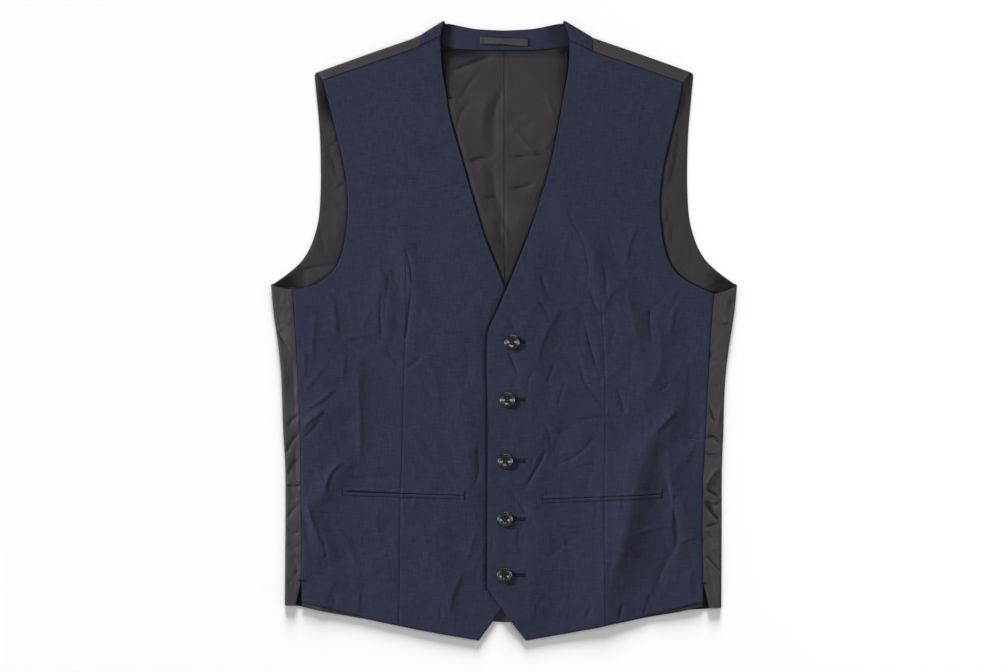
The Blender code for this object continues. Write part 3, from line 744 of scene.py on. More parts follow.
def lengths_round(flap, bend_cells, flap_cells):
    """Distances past the start of a fold, to the end of a flap that reaches this far back over it."""
    bend = [BEND_LENGTH * k / bend_cells for k in range(1, bend_cells + 1)]
    return bend + [BEND_LENGTH + flap * k / flap_cells for k in range(1, flap_cells + 1)]


def back_half(side):
    """Middle of half of the back, and the rows and columns of its flat part, whose lining side faces up.
    """
    cells = BACK_CELLS
    fold = curve_through(one_side(SIDE_FOLD, side))
    vent_top = side.hem_at_fold + VENT_HEIGHT
    fold_line = ladder(
        (stretch(fold, side.hem_at_fold, vent_top), cells["hem"]),
        (stretch(fold, vent_top, SIDE_FOLD[-1].height), cells["body"]),
    )
    fold_rows = len(fold_line)
    start_line = fold_line - [FOLD_SETBACK, 0.0]
    corner = np.array(BACK_ARMHOLE[0])
    ease = smooth_step((fold_line[:, 1] - SIDE_FOLD[-1].height + UNDERARM_EASE) / UNDERARM_EASE)
    start_line += ease[:, None] * (corner - start_line[-1])
    armhole_line = evenly(curve_through(BACK_ARMHOLE), cells["armhole"])
    outer = np.vstack([start_line, armhole_line[1:]])
    share_up = np.concatenate([
        np.linspace(0, UNDERARM_SHARE, fold_rows),
        np.linspace(UNDERARM_SHARE, 1, cells["armhole"] + 1)[1:],
    ])
    centre_top = BAND_SEAM[0].height - SEAM_GAP
    centre = np.column_stack([
        np.full(len(outer), CENTRE_GAP / 2),
        BACK_HEM_CENTRE + share_up * (centre_top - BACK_HEM_CENTRE),
    ])
    columns = cells["neck"] + cells["shoulder"]
    share = np.linspace(0, 1, columns + 1)[None, :, None]
    plan = (1 - share) * centre[:, None, :] + share * outer[:, None, :]
    neck_top = band_seam_line(side, cells["neck"])
    neck_top[:, 1] += UNDER_BAND - (UNDER_BAND + SEAM_GAP) * ramp(neck_top[:, 0], *UNDER_BAND_ENDS)
    neck_top[0, 0] += CENTRE_GAP / 2
    neck_top[-1, 0] += SEAM_GAP
    shoulder_outs = np.linspace(neck_top[-1, 0], BACK_ARMHOLE[-1].out, cells["shoulder"] + 1)[1:]
    shoulder_top = np.column_stack([shoulder_outs, height_at(SHOULDER_LINE, shoulder_outs) - FOLD_SETBACK])
    plan += share_up[:, None, None] ** 2 * (np.vstack([neck_top, shoulder_top]) - plan[-1])[None, :, :]
    round_fold = cells["bend"] + cells["flap"]
    mid = np.full((len(outer) + round_fold, columns + 1 + round_fold, 3), np.nan)
    mid[: len(outer), : columns + 1, :2] = plan
    mid[: len(outer), : columns + 1, 2] = BACK_MID
    seam = SIDE_SEAMS[side.name]
    underarm_rise = start_line[-1][1] - side.underarm.height
    for j in range(fold_rows):
        start, height = start_line[j]
        gape = VENT_GAPE * max(0.0, 1 - (height - side.hem_at_fold) / VENT_HEIGHT)
        near_underarm = max(0.0, 1 - (fold_line[-1, 1] - fold_line[j, 1]) / UNDERARM_DROP_REACH) ** 2
        seam_out = float(out_at(seam, height - underarm_rise * near_underarm))
        flap = start - seam_out - SEAM_GAP / 2 - gape
        for k, length in enumerate(lengths_round(flap, cells["bend"], cells["flap"])):
            past, lift = past_fold(length)
            drop = underarm_rise * near_underarm * smooth_step(length / (BEND_LENGTH + flap)) ** 0.7
            mid[j, columns + 1 + k] = (start + past, height - drop, lift)
    for i in range(cells["neck"], columns + 1):
        start_out, start_height = plan[-1, i]
        lean = (BACK_ARMHOLE[-1].out - side.shoulder_end) * ((i - cells["neck"]) / cells["shoulder"]) ** 3
        flap = start_height - float(shoulder_seam_height(side, start_out - lean)) - SEAM_GAP / 2
        for k, length in enumerate(lengths_round(flap, cells["bend"], cells["flap"])):
            past, lift = past_fold(length)
            across = lean * length / (BEND_LENGTH + flap)
            mid[len(outer) + k, i] = (start_out - across, start_height + past, lift)
    return mid, (len(outer), columns + 1)


# Edges of the fronts, past which the inside of the back lies open to view.
V_NECK = rows_of(
    EdgeRow,
    (348.0, -8.0, -6.4), (384.0, 4.0, 8.8), (420.0, 18.5, 23.3), (456.0, 29.7, 36.0), (503.0, 43.2, 49.5),
    (551.0, 56.8, 59.1), (576.0, 60.6, 63.3), (600.0, 64.8, 67.6), (630.0, 66.8, 69.3),
)
FRONT_ARMHOLE = rows_of(
    Point,
    (203.5, 372.0), (194.6, 376.3), (187.0, 381.5), (179.0, 389.0), (172.5, 400.5), (168.0, 416.5),
    (164.7, 440.0), (163.8, 462.0), (166.0, 486.0), (170.3, 510.0), (176.3, 534.0), (183.2, 562.0),
)


def from_fronts(side, out, height):
    """How far a place on the back is out in the open past the edges of the front over it."""
    neck_edge = curve_through(one_side(V_NECK, side))
    armhole_edge = curve_through([side.underarm, *FRONT_ARMHOLE])
    in_neck = np.where(height > V_NECK[0].height, out_at(neck_edge, height) - out, WELL_UNDER)
    past_edge = out - out_at(armhole_edge, height)
    in_armhole = np.where(height > side.underarm.height + 2, past_edge, WELL_UNDER)
    return in_neck, in_armhole


def painted_shade(in_neck, height):
    """Painted shade in the corners of the neck."""
    corner = 0.8 * smooth_step(1 - in_neck / 19.0) * ramp(height, 560.0, 605.0)
    return np.clip(corner, 0.0, 1.0) * (in_neck > -30)


# The armholes' top ends, where the lining lies deepest: how strong the painted shade is there, and from
# what height.
ARMHOLE_TOP_SHADE = {"right": 0.92, "left": 0.60}
ARMHOLE_TOP_FROM = {"right": 536.0, "left": 560.0}


def painted_lining_shade(side, out, height, in_neck, in_armhole):
    """Painted shade of the lining: as in the neck's corners, and under the band, along the fronts' edges,
    in the armholes' ends and low in the V; the side vents are painted fully dark.
    """
    inside_neck = in_neck > WELL_UNDER + 1
    inside_armhole = in_armhole > WELL_UNDER + 1
    under_band = out < NECK_HALF_WIDTH
    shade = painted_shade(np.where(height > 500, in_neck, 99.0), height)
    shade += 0.5 * ramp(height, 609.0, 618.0) * under_band
    if side is RIGHT:
        near_band = 0.35 * ramp(height, 598.0, 612.0)
        shade += near_band * ramp(out, 14.0, 40.0) * under_band
    shade += 0.75 * smooth_step(1.15 - np.abs(in_neck) / 3.0) * inside_neck
    shade += 0.75 * smooth_step(1.15 - np.abs(in_armhole) / 2.2) * inside_armhole
    top = smooth_step((height - ARMHOLE_TOP_FROM[side.name]) / 26.0) * smooth_step(1.1 - in_armhole / 16.0)
    end = ramp(height, 396.0, 376.0) * ramp(out, 208.0, 226.0)
    shade += (ARMHOLE_TOP_SHADE[side.name] * top + 0.85 * end) * inside_armhole
    low = ramp(height, 456.0, 412.0) * ramp(height, 386.0, 398.0)
    shade += (0.10 + 0.20 * low) * ramp(height, 470.0, 410.0) * inside_neck
    # Painted shade: the right armhole's lining is a little darker all over.
    if side is RIGHT:
        shade += 0.10 * inside_armhole
    # Painted shade: the lining seen in a side vent is made fully dark.
    in_vent = (height < side.hem_at_fold + VENT_HEIGHT + 3.0) & (out > 196.0)
    return np.clip(np.where(in_vent, 1.0, shade), 0.0, 1.0)


# Boxes of (out0, height0, out1, height1) that hold the fine creases, and how far up the lining may lie.
STRIP_BOX = (198, 50, 248, 370)
NECK_BOX = (-60, 380, 60, 615)
ARMHOLE_BOX = (160, 372, 240, 596)
LINING_LIMIT = 1.5
FREE_LINING_RISE = 1.4
NECK_LINING_RISE = 0.6
UNDER_FRONT_LIMIT = 0.8
BEND_QUIET = 1.25


def wrinkle_back(side, mid, flat_shape):
    """Puckers in the side and shoulder strips, and the relief and painted shade of the lining that faces
    up.
    """
    out, height, lift = mid[:, :, 0], mid[:, :, 1], mid[:, :, 2]
    past_bend = smooth_step((lift - BACK_MID) / (2 * FOLD_RADIUS) * BEND_QUIET - (BEND_QUIET - 1))
    waves = soft_waves(out, height, 5 + side.sign, 24.0, 0.6)
    flat_out, flat_height = np.nan_to_num(out), np.nan_to_num(height)
    puckers = STRIP_FULLNESS[side.name] * crease_relief(flat_out, flat_height, STRIP_PUCKERS[side.name])
    fine = random_creases(60 + side.sign, 90, STRIP_BOX, (7, 24), (0.8, 2.2), (0.25, 0.75), 1.2)
    puckers += crease_relief(flat_out, flat_height, fine)
    lift += past_bend * (puckers + waves - 0.1)
    rows, columns = flat_shape
    open_out = flat_out[:rows, :columns]
    x = side.sign * open_out
    y = flat_height[:rows, :columns]
    in_neck, in_armhole = from_fronts(side, open_out, y)
    open_neck = crease_relief(x, y, BACK_NECK_CREASES)
    armhole = crease_relief(open_out, y, ARMHOLE_CREASES[side.name])
    fine = random_creases(40 + side.sign, 60, NECK_BOX, (10, 40), (1.6, 4.6), (0.15, 0.50), 1.1)
    small = crease_relief(x, y, fine)
    fine = random_creases(50 + side.sign, 44, ARMHOLE_BOX, (8, 34), (1.4, 4.0), (0.12, 0.45), 1.1)
    small += crease_relief(open_out, y, fine)
    waves = soft_waves(x, y, 11, 40.0, 0.8)
    lying_free = smooth_step((np.maximum(in_neck, in_armhole) + 4.0) / 10.0)
    well_in_neck = ramp(in_neck, 0.0, 12.0)
    raised = 0.3 + 0.9 * lying_free + 0.5 * ramp(y, 575.0, 620.0) * (open_out < NECK_HALF_WIDTH)
    raised += 0.8 * well_in_neck
    beside = np.where(y < 570.0, in_neck, WELL_UNDER) if side is RIGHT else in_armhole
    raised += 1.3 * ramp(beside, -2.0, 1.0) * smooth_step(1.4 - beside / 9.0)
    lying = np.maximum(1.25 * open_neck + armhole + small + waves * 0.6 + raised, 0.0)
    limit = LINING_LIMIT + FREE_LINING_RISE * lying_free + NECK_LINING_RISE * well_in_neck
    limit = np.where(y < V_NECK[0].height + 4.0, UNDER_FRONT_LIMIT, limit)
    edge_ease = smooth_step((mid[:rows, columns - 1 : columns, 0] - open_out + 6) / 8)
    to_top = np.where(np.arange(columns) < BACK_CELLS["neck"], y[-1:, :] - y, 99.0)
    edge_ease = edge_ease * smooth_step((to_top - UNDER_BAND) / 6.0)
    relief = np.zeros_like(out)
    relief[:rows, :columns] = np.minimum(lying, limit) * edge_ease
    relief[rows - 1, :columns] *= 0.6
    relief[:rows, 0] += EDGE_TUCK * BACK_WALL
    shade = np.zeros_like(out)
    shade[:rows, :columns] = painted_lining_shade(side, open_out, y, in_neck, in_armhole)
    return relief, shade


# Within this distance of a seam, in millimetres, this share of the painted edge shade is left.
SIDE_SEAM_CLOSED = (1.0, 0.35)
CENTRE_SEAM_CLOSED = (0.8, 0.3)


def close_seams(mesh, side):
    """Where a seam joins two pieces, at the centre back or the side, the painted shade along their edges
    is mostly taken off.
    """
    edge_shade = mesh.attributes["painted edge shade"].data
    values = np.zeros(len(mesh.vertices))
    places = np.zeros(3 * len(mesh.vertices))
    edge_shade.foreach_get("value", values)
    mesh.vertices.foreach_get("co", places)
    out = side.sign * places[::3] / MM
    height = places[1::3] / MM + FRONT_LENGTH / 2
    joined = (height > side.hem_at_fold + VENT_HEIGHT + 1.0) & (height < side.underarm.height - 1.0)
    reach, share = SIDE_SEAM_CLOSED
    values[joined & (np.abs(out - out_at(SIDE_SEAMS[side.name], height)) < reach)] *= share
    reach, share = CENTRE_SEAM_CLOSED
    values[np.abs(out) < reach] *= share
    edge_shade.foreach_set("value", values)


def sew_back(side):
    mid, flat_shape = back_half(side)
    relief, shade = wrinkle_back(side, mid, flat_shape)
    made = cloth_shell(
        f"satin_back_{side.name}", mid, BACK_WALL, side.sign, SATIN, LINING, upper_relief=relief
    )
    present = ~np.isnan(mid[:, :, 0])
    # Painted shade on the lining, which its material uses to darken the colour.
    mark(made.data, "painted_shade", shade[present])
    close_seams(made.data, side)
    lining_faces = len(grid_cells(present))
    indices = np.zeros(len(made.data.polygons), int)
    indices[:lining_faces] = 1
    made.data.polygons.foreach_set("material_index", indices)
    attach(made, "root")
    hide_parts(f"back_{side.name}")


for half in SIDES:
    sew_back(half)

# ----------------------------------------
# Fronts. Navy plain-weave suiting of wool and linen on a canvas, turned in round a lining at every
# edge. Each has one long dart, pressed flat, and the creases of a worn and folded garment. The
# wearer's left front laps over the right one at the buttons.
# ----------------------------------------
FRONT_WALL = 1.5
FRONT_CLEARANCE = 1.95
LAP_CLEARANCE = 0.6
FRONT_MID = BACK_WALL + FRONT_CLEARANCE + FRONT_WALL / 2
LAPPED_MID = FRONT_MID + FRONT_WALL + LAP_CLEARANCE

CUTAWAY = rows_of(
    EdgeRow,
    (0.0, 26.5, 22.9), (18.3, 13.2, 8.7), (33.0, 2.6, -2.0), (50.0, -11.0, -14.0), (58.0, -17.0, -17.6),
)
BUTTON_STAND = rows_of(
    EdgeRow,
    (58.0, -17.0, -17.6), (120.0, -17.5, -17.6), (231.0, -17.5, -16.9), (290.0, -18.0, -18.4),
    (320.0, -17.0, -17.4), (333.0, -13.8, -13.6), (348.0, -8.0, -6.4),
)
FRONT_CORNER = 41.2
FRONT_HEM_BOW = 2.6
STAND_FOOT_AT_SEAM = 92.0
# Middle line of each dart, from the hem up past its point to the shoulder.
DARTS = rows_of(
    EdgeRow,
    (0.0, 110.6, 106.6), (32.0, 110.0, 106.4), (141.0, 109.0, 105.3), (184.0, 107.3, 106.0),
    (236.0, 106.2, 106.4), (286.0, 104.7, 106.0), (337.0, 102.4, 103.3), (389.0, 103.0, 101.0),
    (418.0, 104.5, 101.0), (520.0, 112.0, 110.0), (660.0, 122.0, 122.0),
)
DART_TOP = {"right": 414.0, "left": 372.0}
DART_PRESSED = {"right": 292.0, "left": 150.0}

Fold = namedtuple("Fold", "out0 height0 out1 height1 spread rise")
FOLDS = {
    "right": rows_of(
        Fold,
        (105.0, 415.0, 95.0, 366.0, 11.0, 1.5), (126.0, 378.0, 128.0, 330.0, 12.0, 1.3),
        (166.0, 250.0, 205.0, 226.0, 11.0, 1.8), (166.0, 186.0, 190.0, 152.0, 11.0, 1.6),
        (204.0, 138.0, 186.0, 98.0, 11.0, 1.4), (40.0, 250.0, 36.0, 150.0, 12.0, 1.0),
        (70.0, 110.0, 62.0, 36.0, 14.0, 1.2),
    ),
    "left": rows_of(
        Fold,
        (58.0, 458.0, 92.0, 408.0, 12.0, 1.4), (92.0, 408.0, 106.0, 362.0, 12.0, 1.6),
        (120.0, 372.0, 138.0, 330.0, 12.0, 1.3), (182.0, 240.0, 152.0, 205.0, 12.0, 1.8),
        (152.0, 205.0, 128.0, 104.0, 13.0, 2.2), (174.0, 184.0, 180.0, 100.0, 12.0, 1.6),
        (176.0, 92.0, 154.0, 44.0, 12.0, 1.4), (48.0, 226.0, 62.0, 262.0, 11.0, 1.2),
    ),
}
FRONT_CREASES = {
    "left": [
        ([(91, 372), (94, 356), (102, 342)], 1.1, -0.9, -0.4),
        ([(81, 343), (94, 342), (113, 343)], 1.2, -0.8, 0.5),
        ([(81, 345), (87, 324), (91, 307), (100, 278)], 1.2, -1.1, -0.5),
        ([(77, 297), (86, 270), (105, 244)], 1.1, -0.9, -0.4),
        ([(117, 267), (122, 255), (127, 235)], 1.1, -1.1, -0.5),
        ([(121, 330), (113, 318), (111, 295)], 1.2, -0.7, -0.4),
        ([(162, 339), (165, 307), (164, 288), (154, 265), (146, 250)], 6.0, 1.3, 0.01),
        ([(141, 322), (132, 303), (136, 276)], 5.0, -0.8, -0.4),
        ([(186, 244), (174, 235), (164, 224), (153, 213)], 4.0, 1.9, 0.5),
        ([(159, 213), (151, 200), (143, 179), (135, 152), (130, 122), (124, 89),
          (107, 43)], 28.0, 2.9, 0.01),
        ([(160, 204), (166, 183), (172, 162), (178, 135), (182, 106), (168, 76),
          (153, 38)], 12.0, -2.9, 0.65),
        ([(146, 232), (126, 165), (114, 106), (98, 40)], 20.0, 1.6, 0.01),
        ([(192, 372), (193, 310), (194, 250), (194, 205), (194, 160)], 26.0, -1.8, 0.01),
        ([(124, 384), (140, 318), (147, 268), (152, 200)], 30.0, 2.2, 0.01),
        ([(150, 250), (136, 190), (126, 130), (116, 70), (100, -10)], 52.0, 2.6, 0.2),
        ([(124, 241), (136, 239), (149, 231)], 1.6, 0.9, -0.5),
        ([(74, 231), (90, 233), (107, 234), (124, 232)], 1.1, -0.8, 0.4),
        ([(108, 220), (92, 210), (78, 196), (59, 186), (43, 181)], 1.1, -0.9, -0.4),
        ([(45, 203), (36, 185), (25, 166)], 1.3, -1.6, -0.5),
        ([(0, 341), (6, 334), (14, 323)], 1.2, -1.0, -0.5),
        ([(4, 305), (9, 292), (16, 276)], 1.2, -1.2, -0.5), ([(6, 269), (21, 259)], 1.2, -0.7, -0.4),
        ([(32, 285), (26, 274), (23, 263)], 1.1, -0.7, -0.4),
        ([(54, 294), (49, 282), (44, 268)], 1.1, -0.7, -0.4),
        ([(65, 274), (59, 256), (55, 240)], 1.1, -0.8, -0.4),
        ([(34, 364), (43, 347), (50, 338)], 1.3, -0.9, -0.5),
        ([(67, 358), (50, 334), (39, 309), (34, 282)], 3.8, 1.0, 0.4),
        ([(181, 356), (176, 332), (174, 318)], 2.2, 0.9, 0.4),
        ([(153, 358), (153, 334), (155, 307)], 1.3, -0.8, -0.4),
        ([(176, 214), (195, 212), (215, 210)], 1.3, -1.1, 0.5),
        ([(204, 211), (195, 198), (189, 183)], 3.0, 0.9, 0.4),
        ([(33, 181), (27, 169), (21, 160)], 1.3, -0.9, -0.5),
        ([(-1, 164), (9, 153), (19, 141), (25, 127)], 1.3, -0.9, -0.5),
        ([(24, 131), (16, 114), (15, 99), (23, 85)], 1.4, -0.7, -0.4),
        ([(174, 185), (176, 162), (177, 139), (176, 116), (182, 99)], 1.8, 1.2, 0.5),
        ([(185, 154), (190, 135), (195, 122)], 2.4, 0.7, 0.4),
        ([(182, 102), (169, 79), (159, 55), (148, 24)], 3.0, -0.4, -0.4),
        ([(190, 122), (176, 80), (158, 40), (148, -10)], 30.0, -2.0, 0.01),
        ([(132, 150), (120, 92), (110, 50), (100, -20)], 32.0, 1.8, 0.01),
        ([(125, 106), (134, 97), (145, 85)], 1.4, -1.0, -0.5),
        ([(130, 97), (143, 104), (155, 101)], 1.3, -0.8, 0.4),
        ([(131, 110), (147, 115), (164, 119), (178, 116)], 1.6, 0.9, -0.5),
        ([(107, 105), (116, 99), (126, 93)], 1.2, -0.8, -0.4),
        ([(47, 133), (60, 124), (74, 115), (94, 108)], 1.2, -0.8, 0.4),
        ([(124, 40), (122, 30), (119, 20)], 1.6, -1.3, -0.5), ([(92, 37), (86, 24)], 1.4, -1.0, -0.4),
        ([(154, 53), (150, 38), (145, 24)], 1.6, -0.9, -0.4),
        ([(183, 100), (191, 106), (203, 109)], 1.5, 0.9, -0.5),
        ([(65, 457), (72, 440), (82, 421), (88, 398), (89, 370)], 1.6, -0.8, -0.4),
        ([(103, 400), (107, 376), (105, 358)], 1.4, -0.9, -0.4),
        ([(143, 440), (132, 416), (126, 389)], 4.0, 1.0, 0.5),
        ([(120, 374), (110, 360), (105, 345)], 2.2, 0.8, 0.4),
        ([(38, 389), (42, 373), (49, 358)], 1.3, -0.8, -0.4),
        ([(160, 261), (168, 265), (176, 274)], 1.2, -0.8, 0.4),
        ([(38, 232), (46, 221), (50, 204)], 1.2, -0.7, -0.4),
        ([(195, 295), (191, 274), (195, 255)], 3.4, 0.7, 0.4),
        ([(70, 179), (90, 185), (111, 188)], 1.3, -0.6, 0.4),
        ([(201, 85), (195, 64), (200, 45)], 2.6, 0.8, 0.4),
        ([(109, 89), (105, 64), (107, 38)], 3.4, 0.7, 0.4),
    ],
    "right": [
        ([(182, 366), (177, 341), (175, 314)], 3.4, 1.2, -0.5),
        ([(174, 315), (162, 318), (149, 320), (132, 319)], 1.3, 0.9, 0.6),
        ([(128, 372), (130, 345), (129, 324), (126, 309)], 1.6, -1.1, 0.4),
        ([(97, 374), (100, 347), (103, 322), (107, 305)], 1.3, -1.2, 0.5),
        ([(126, 309), (118, 298), (107, 286)], 1.2, -0.9, 0.4),
        ([(108, 286), (96, 290), (85, 301)], 1.2, -0.9, -0.4),
        ([(152, 305), (152, 282), (152, 261), (151, 211), (150, 179)], 4.6, 1.7, 0.01),
        ([(167, 303), (168, 288), (169, 274)], 2.2, 0.8, -0.4),
        ([(197, 345), (200, 318), (202, 292)], 3.2, 1.0, -0.4),
        ([(214, 220), (202, 232), (185, 245)], 2.6, 1.9, 0.6),
        ([(212, 210), (202, 221), (191, 234)], 2.0, -1.3, -0.4),
        ([(214, 238), (195, 250), (174, 267)], 2.2, 1.2, 0.5),
        ([(210, 259), (200, 274), (187, 290)], 3.0, 0.9, 0.4),
        ([(166, 190), (180, 179), (186, 166), (188, 151)], 2.4, 1.7, -0.5),
        ([(209, 154), (205, 139), (200, 122), (190, 96)], 2.4, 1.6, -0.5),
        ([(191, 108), (187, 93), (188, 82)], 1.3, -0.9, 0.4),
        ([(210, 135), (208, 114), (203, 95)], 1.5, -1.0, 0.4),
        ([(178, 121), (166, 108), (158, 89), (155, 72)], 3.6, 0.9, -0.4),
        ([(40, 78), (52, 53), (60, 20)], 3.6, 1.3, -0.5),
        ([(28, 118), (35, 97), (40, 78)], 2.2, 0.9, -0.4), ([(67, 38), (66, 22)], 1.2, -0.9, 0.4),
        ([(61, 36), (58, 23)], 1.2, -0.8, 0.4),
        ([(29, 215), (28, 198), (27, 179), (32, 156)], 1.8, -1.1, 0.5),
        ([(162, 170), (139, 172), (113, 170)], 1.3, -0.8, -0.5),
        ([(97, 221), (80, 204), (71, 181)], 1.6, -0.5, 0.4),
        ([(147, 85), (122, 70), (107, 47)], 3.2, 0.8, -0.4),
        ([(212, 310), (209, 292), (210, 269)], 2.6, 0.9, -0.4),
        ([(172, 486), (130, 488), (84, 487)], 2.2, 0.5, 0.4),
        ([(166, 435), (130, 436), (88, 432)], 2.2, 0.5, 0.4),
        ([(105, 417), (99, 393), (96, 370)], 1.3, -1.0, 0.5),
        ([(120, 391), (123, 368), (126, 334)], 1.4, -0.8, 0.5),
        ([(139, 351), (145, 337), (149, 322)], 2.2, 0.7, -0.4),
        ([(78, 292), (69, 263), (71, 232)], 4.5, 0.7, -0.4),
        ([(44, 326), (38, 295), (42, 261)], 4.5, -0.6, 0.4),
        ([(128, 148), (134, 124), (126, 97)], 3.4, 0.7, -0.4),
        ([(88, 127), (80, 95), (84, 59)], 4.2, 0.7, -0.4),
        ([(183, 53), (178, 43), (181, 30)], 2.0, -0.7, 0.4),
        ([(149, 55), (153, 40), (151, 28)], 2.2, 0.8, -0.4),
    ],
}
FAINT_CREASES = {
    "right": random_creases(7, 70, (-5, 30, 205, 400), (18, 60), (1.6, 4.6), (0.18, 0.50), 0.7)
    + random_creases(8, 16, (75, 420, 175, 600), (20, 70), (3.0, 6.0), (0.08, 0.20), 0.9),
    "left": random_creases(17, 95, (-5, 30, 205, 420), (18, 60), (1.4, 4.4), (0.22, 0.58), 0.7)
    + random_creases(18, 18, (75, 420, 175, 600), (20, 70), (3.0, 6.0), (0.08, 0.20), 0.9),
}
DART_LINES = {side.name: curve_through(one_side(DARTS, side)) for side in SIDES}
SIDE_RISE_FROM = 75.0
SHOULDER_RISE_FROM = 60.0
SEAM_STITCH = 0.8
STITCH_DENT = 0.30
DART_RIDGE = 0.10
DART_FADE = 26.0
SEAM_QUIET = 9.0
# Where the lap of the left front eases off: towards the side, up to the neck and down to the hem.
LAP_SIDE = (62.0, 26.0)
LAP_TOP = (450.0, 380.0)
LAP_HEM = (6.0, 30.0)
# The dent that the lapping edge presses in the right front: its depth, and where it starts and ends.
LAP_DENT = 1.4
LAP_DENT_LOW = (26.0, 46.0)
LAP_DENT_HIGH = (376.0, 364.0)
# Wavelength and rise of the unevenness of the canvas and of the cloth on it.
BROAD_WAVES = (60.0, 0.55)
FINE_WAVES = (17.0, 0.10)


def from_seams(side, out, height):
    """Distances of a place on a front from its side seam and its shoulder seam."""
    seam_out = out_at(SIDE_SEAMS[side.name], height)
    from_side = np.hypot(np.maximum(seam_out - out, 0), np.maximum(height - side.underarm.height, 0))
    return from_side, np.maximum(shoulder_seam_height(side, out) - height, 0)


def front_base(side, out, height):
    """Lift of the middle of a front: level on the back, rising to the seams and over the lap."""
    from_side, from_shoulder = from_seams(side, out, height)
    at_side = smooth_step(1 - from_side / SIDE_RISE_FROM)
    raised = np.maximum(at_side, smooth_step(1 - from_shoulder / SHOULDER_RISE_FROM))
    lift = FRONT_MID + (FOLDED_MID - FRONT_MID) * raised
    if side is LEFT:
        lap = ramp(out, *LAP_SIDE) * ramp(height, *LAP_TOP)
        lift = lift + (LAPPED_MID - FRONT_MID) * lap * ramp(height, *LAP_HEM)
    total = np.zeros_like(lift)
    for fold in FOLDS[side.name]:
        run = np.array([fold.out1 - fold.out0, fold.height1 - fold.height0])
        length = float(np.hypot(*run))
        to_out, to_height = out - fold.out0, height - fold.height0
        along = (to_out * run[0] + to_height * run[1]) / length**2
        past_end = np.maximum(np.maximum(-along, along - 1.0), 0.0) * length
        aside = np.abs(run[0] * to_height - run[1] * to_out) / length
        total += fold.rise * np.exp(-((aside / fold.spread) ** 2) - (past_end / fold.spread) ** 2)
    return lift + total * ramp(from_side, 0.0, 12.0) * ramp(from_shoulder, 0.0, 12.0)


# The left front's edge, where it lies on the right front and presses it down.
LAP_LINE = curve_through([
    Point(-row.left, row.height) for row in [*CUTAWAY[1:-1], *BUTTON_STAND, EdgeRow(384.0, 0.0, 8.8)]
])


def at_lap(out, height):
    """How far past the left front's edge a place on the right front shows, and where the edge is."""
    past = out - out_at(LAP_LINE, height)
    return past, ramp(height, *LAP_DENT_LOW) * ramp(height, *LAP_DENT_HIGH)


def dart_shape(side, out, height):
    """Distance from the dart's seam, and how fully the dart is there."""
    gap = np.abs(out - out_at(DART_LINES[side.name], height))
    return gap, smooth_step((DART_TOP[side.name] - height) / DART_FADE)


def front_relief(side, out, height):
    """Creases, dart and unevenness of a front, kept quiet at its edges and under the buttons."""
    shape = out.shape
    out, height = out.ravel(), height.ravel()
    from_side, from_shoulder = from_seams(side, out, height)
    gap, there = dart_shape(side, out, height)
    relief = crease_relief(out, height, FRONT_CREASES[side.name])
    relief += crease_relief(out, height, FAINT_CREASES[side.name])
    relief += soft_waves(out, height, 21 + side.sign, *BROAD_WAVES)
    relief += soft_waves(out, height, 31 + side.sign, *FINE_WAVES)
    quiet = 0.35 + 0.65 * ramp(from_side, 0.0, SEAM_QUIET) * ramp(from_shoulder, 0.0, SEAM_QUIET)
    quiet *= 0.3 + 0.7 * ramp(out, -20.0, -2.0) if side is RIGHT else 1.0
    relief *= quiet
    if side is RIGHT:
        past, lapped = at_lap(out, height)
        relief -= LAP_DENT * np.exp(-np.maximum(np.abs(past) - 0.8, 0.0) / 2.2) * lapped
    stitched = STITCH_DENT * np.exp(-((gap / SEAM_STITCH) ** 2))
    relief += there * (DART_RIDGE * np.exp(-((gap - 2.2) / 2.4) ** 2) - stitched)
    return relief.reshape(shape)


def front_top(side, out, height):
    """Lift of a front's outer side."""
    out, height = np.atleast_1d(np.asarray(out, float)), np.atleast_1d(np.asarray(height, float))
    return front_base(side, out, height) + front_relief(side, out, height) + FRONT_WALL / 2


FRONT_ROWS = (32, 190, 190)
NEAR_DART = (-3.0, -1.6, -0.7, 0.0, 0.7, 1.6, 3.0)
INNER_COLUMNS, OUTER_COLUMNS = 80, 70


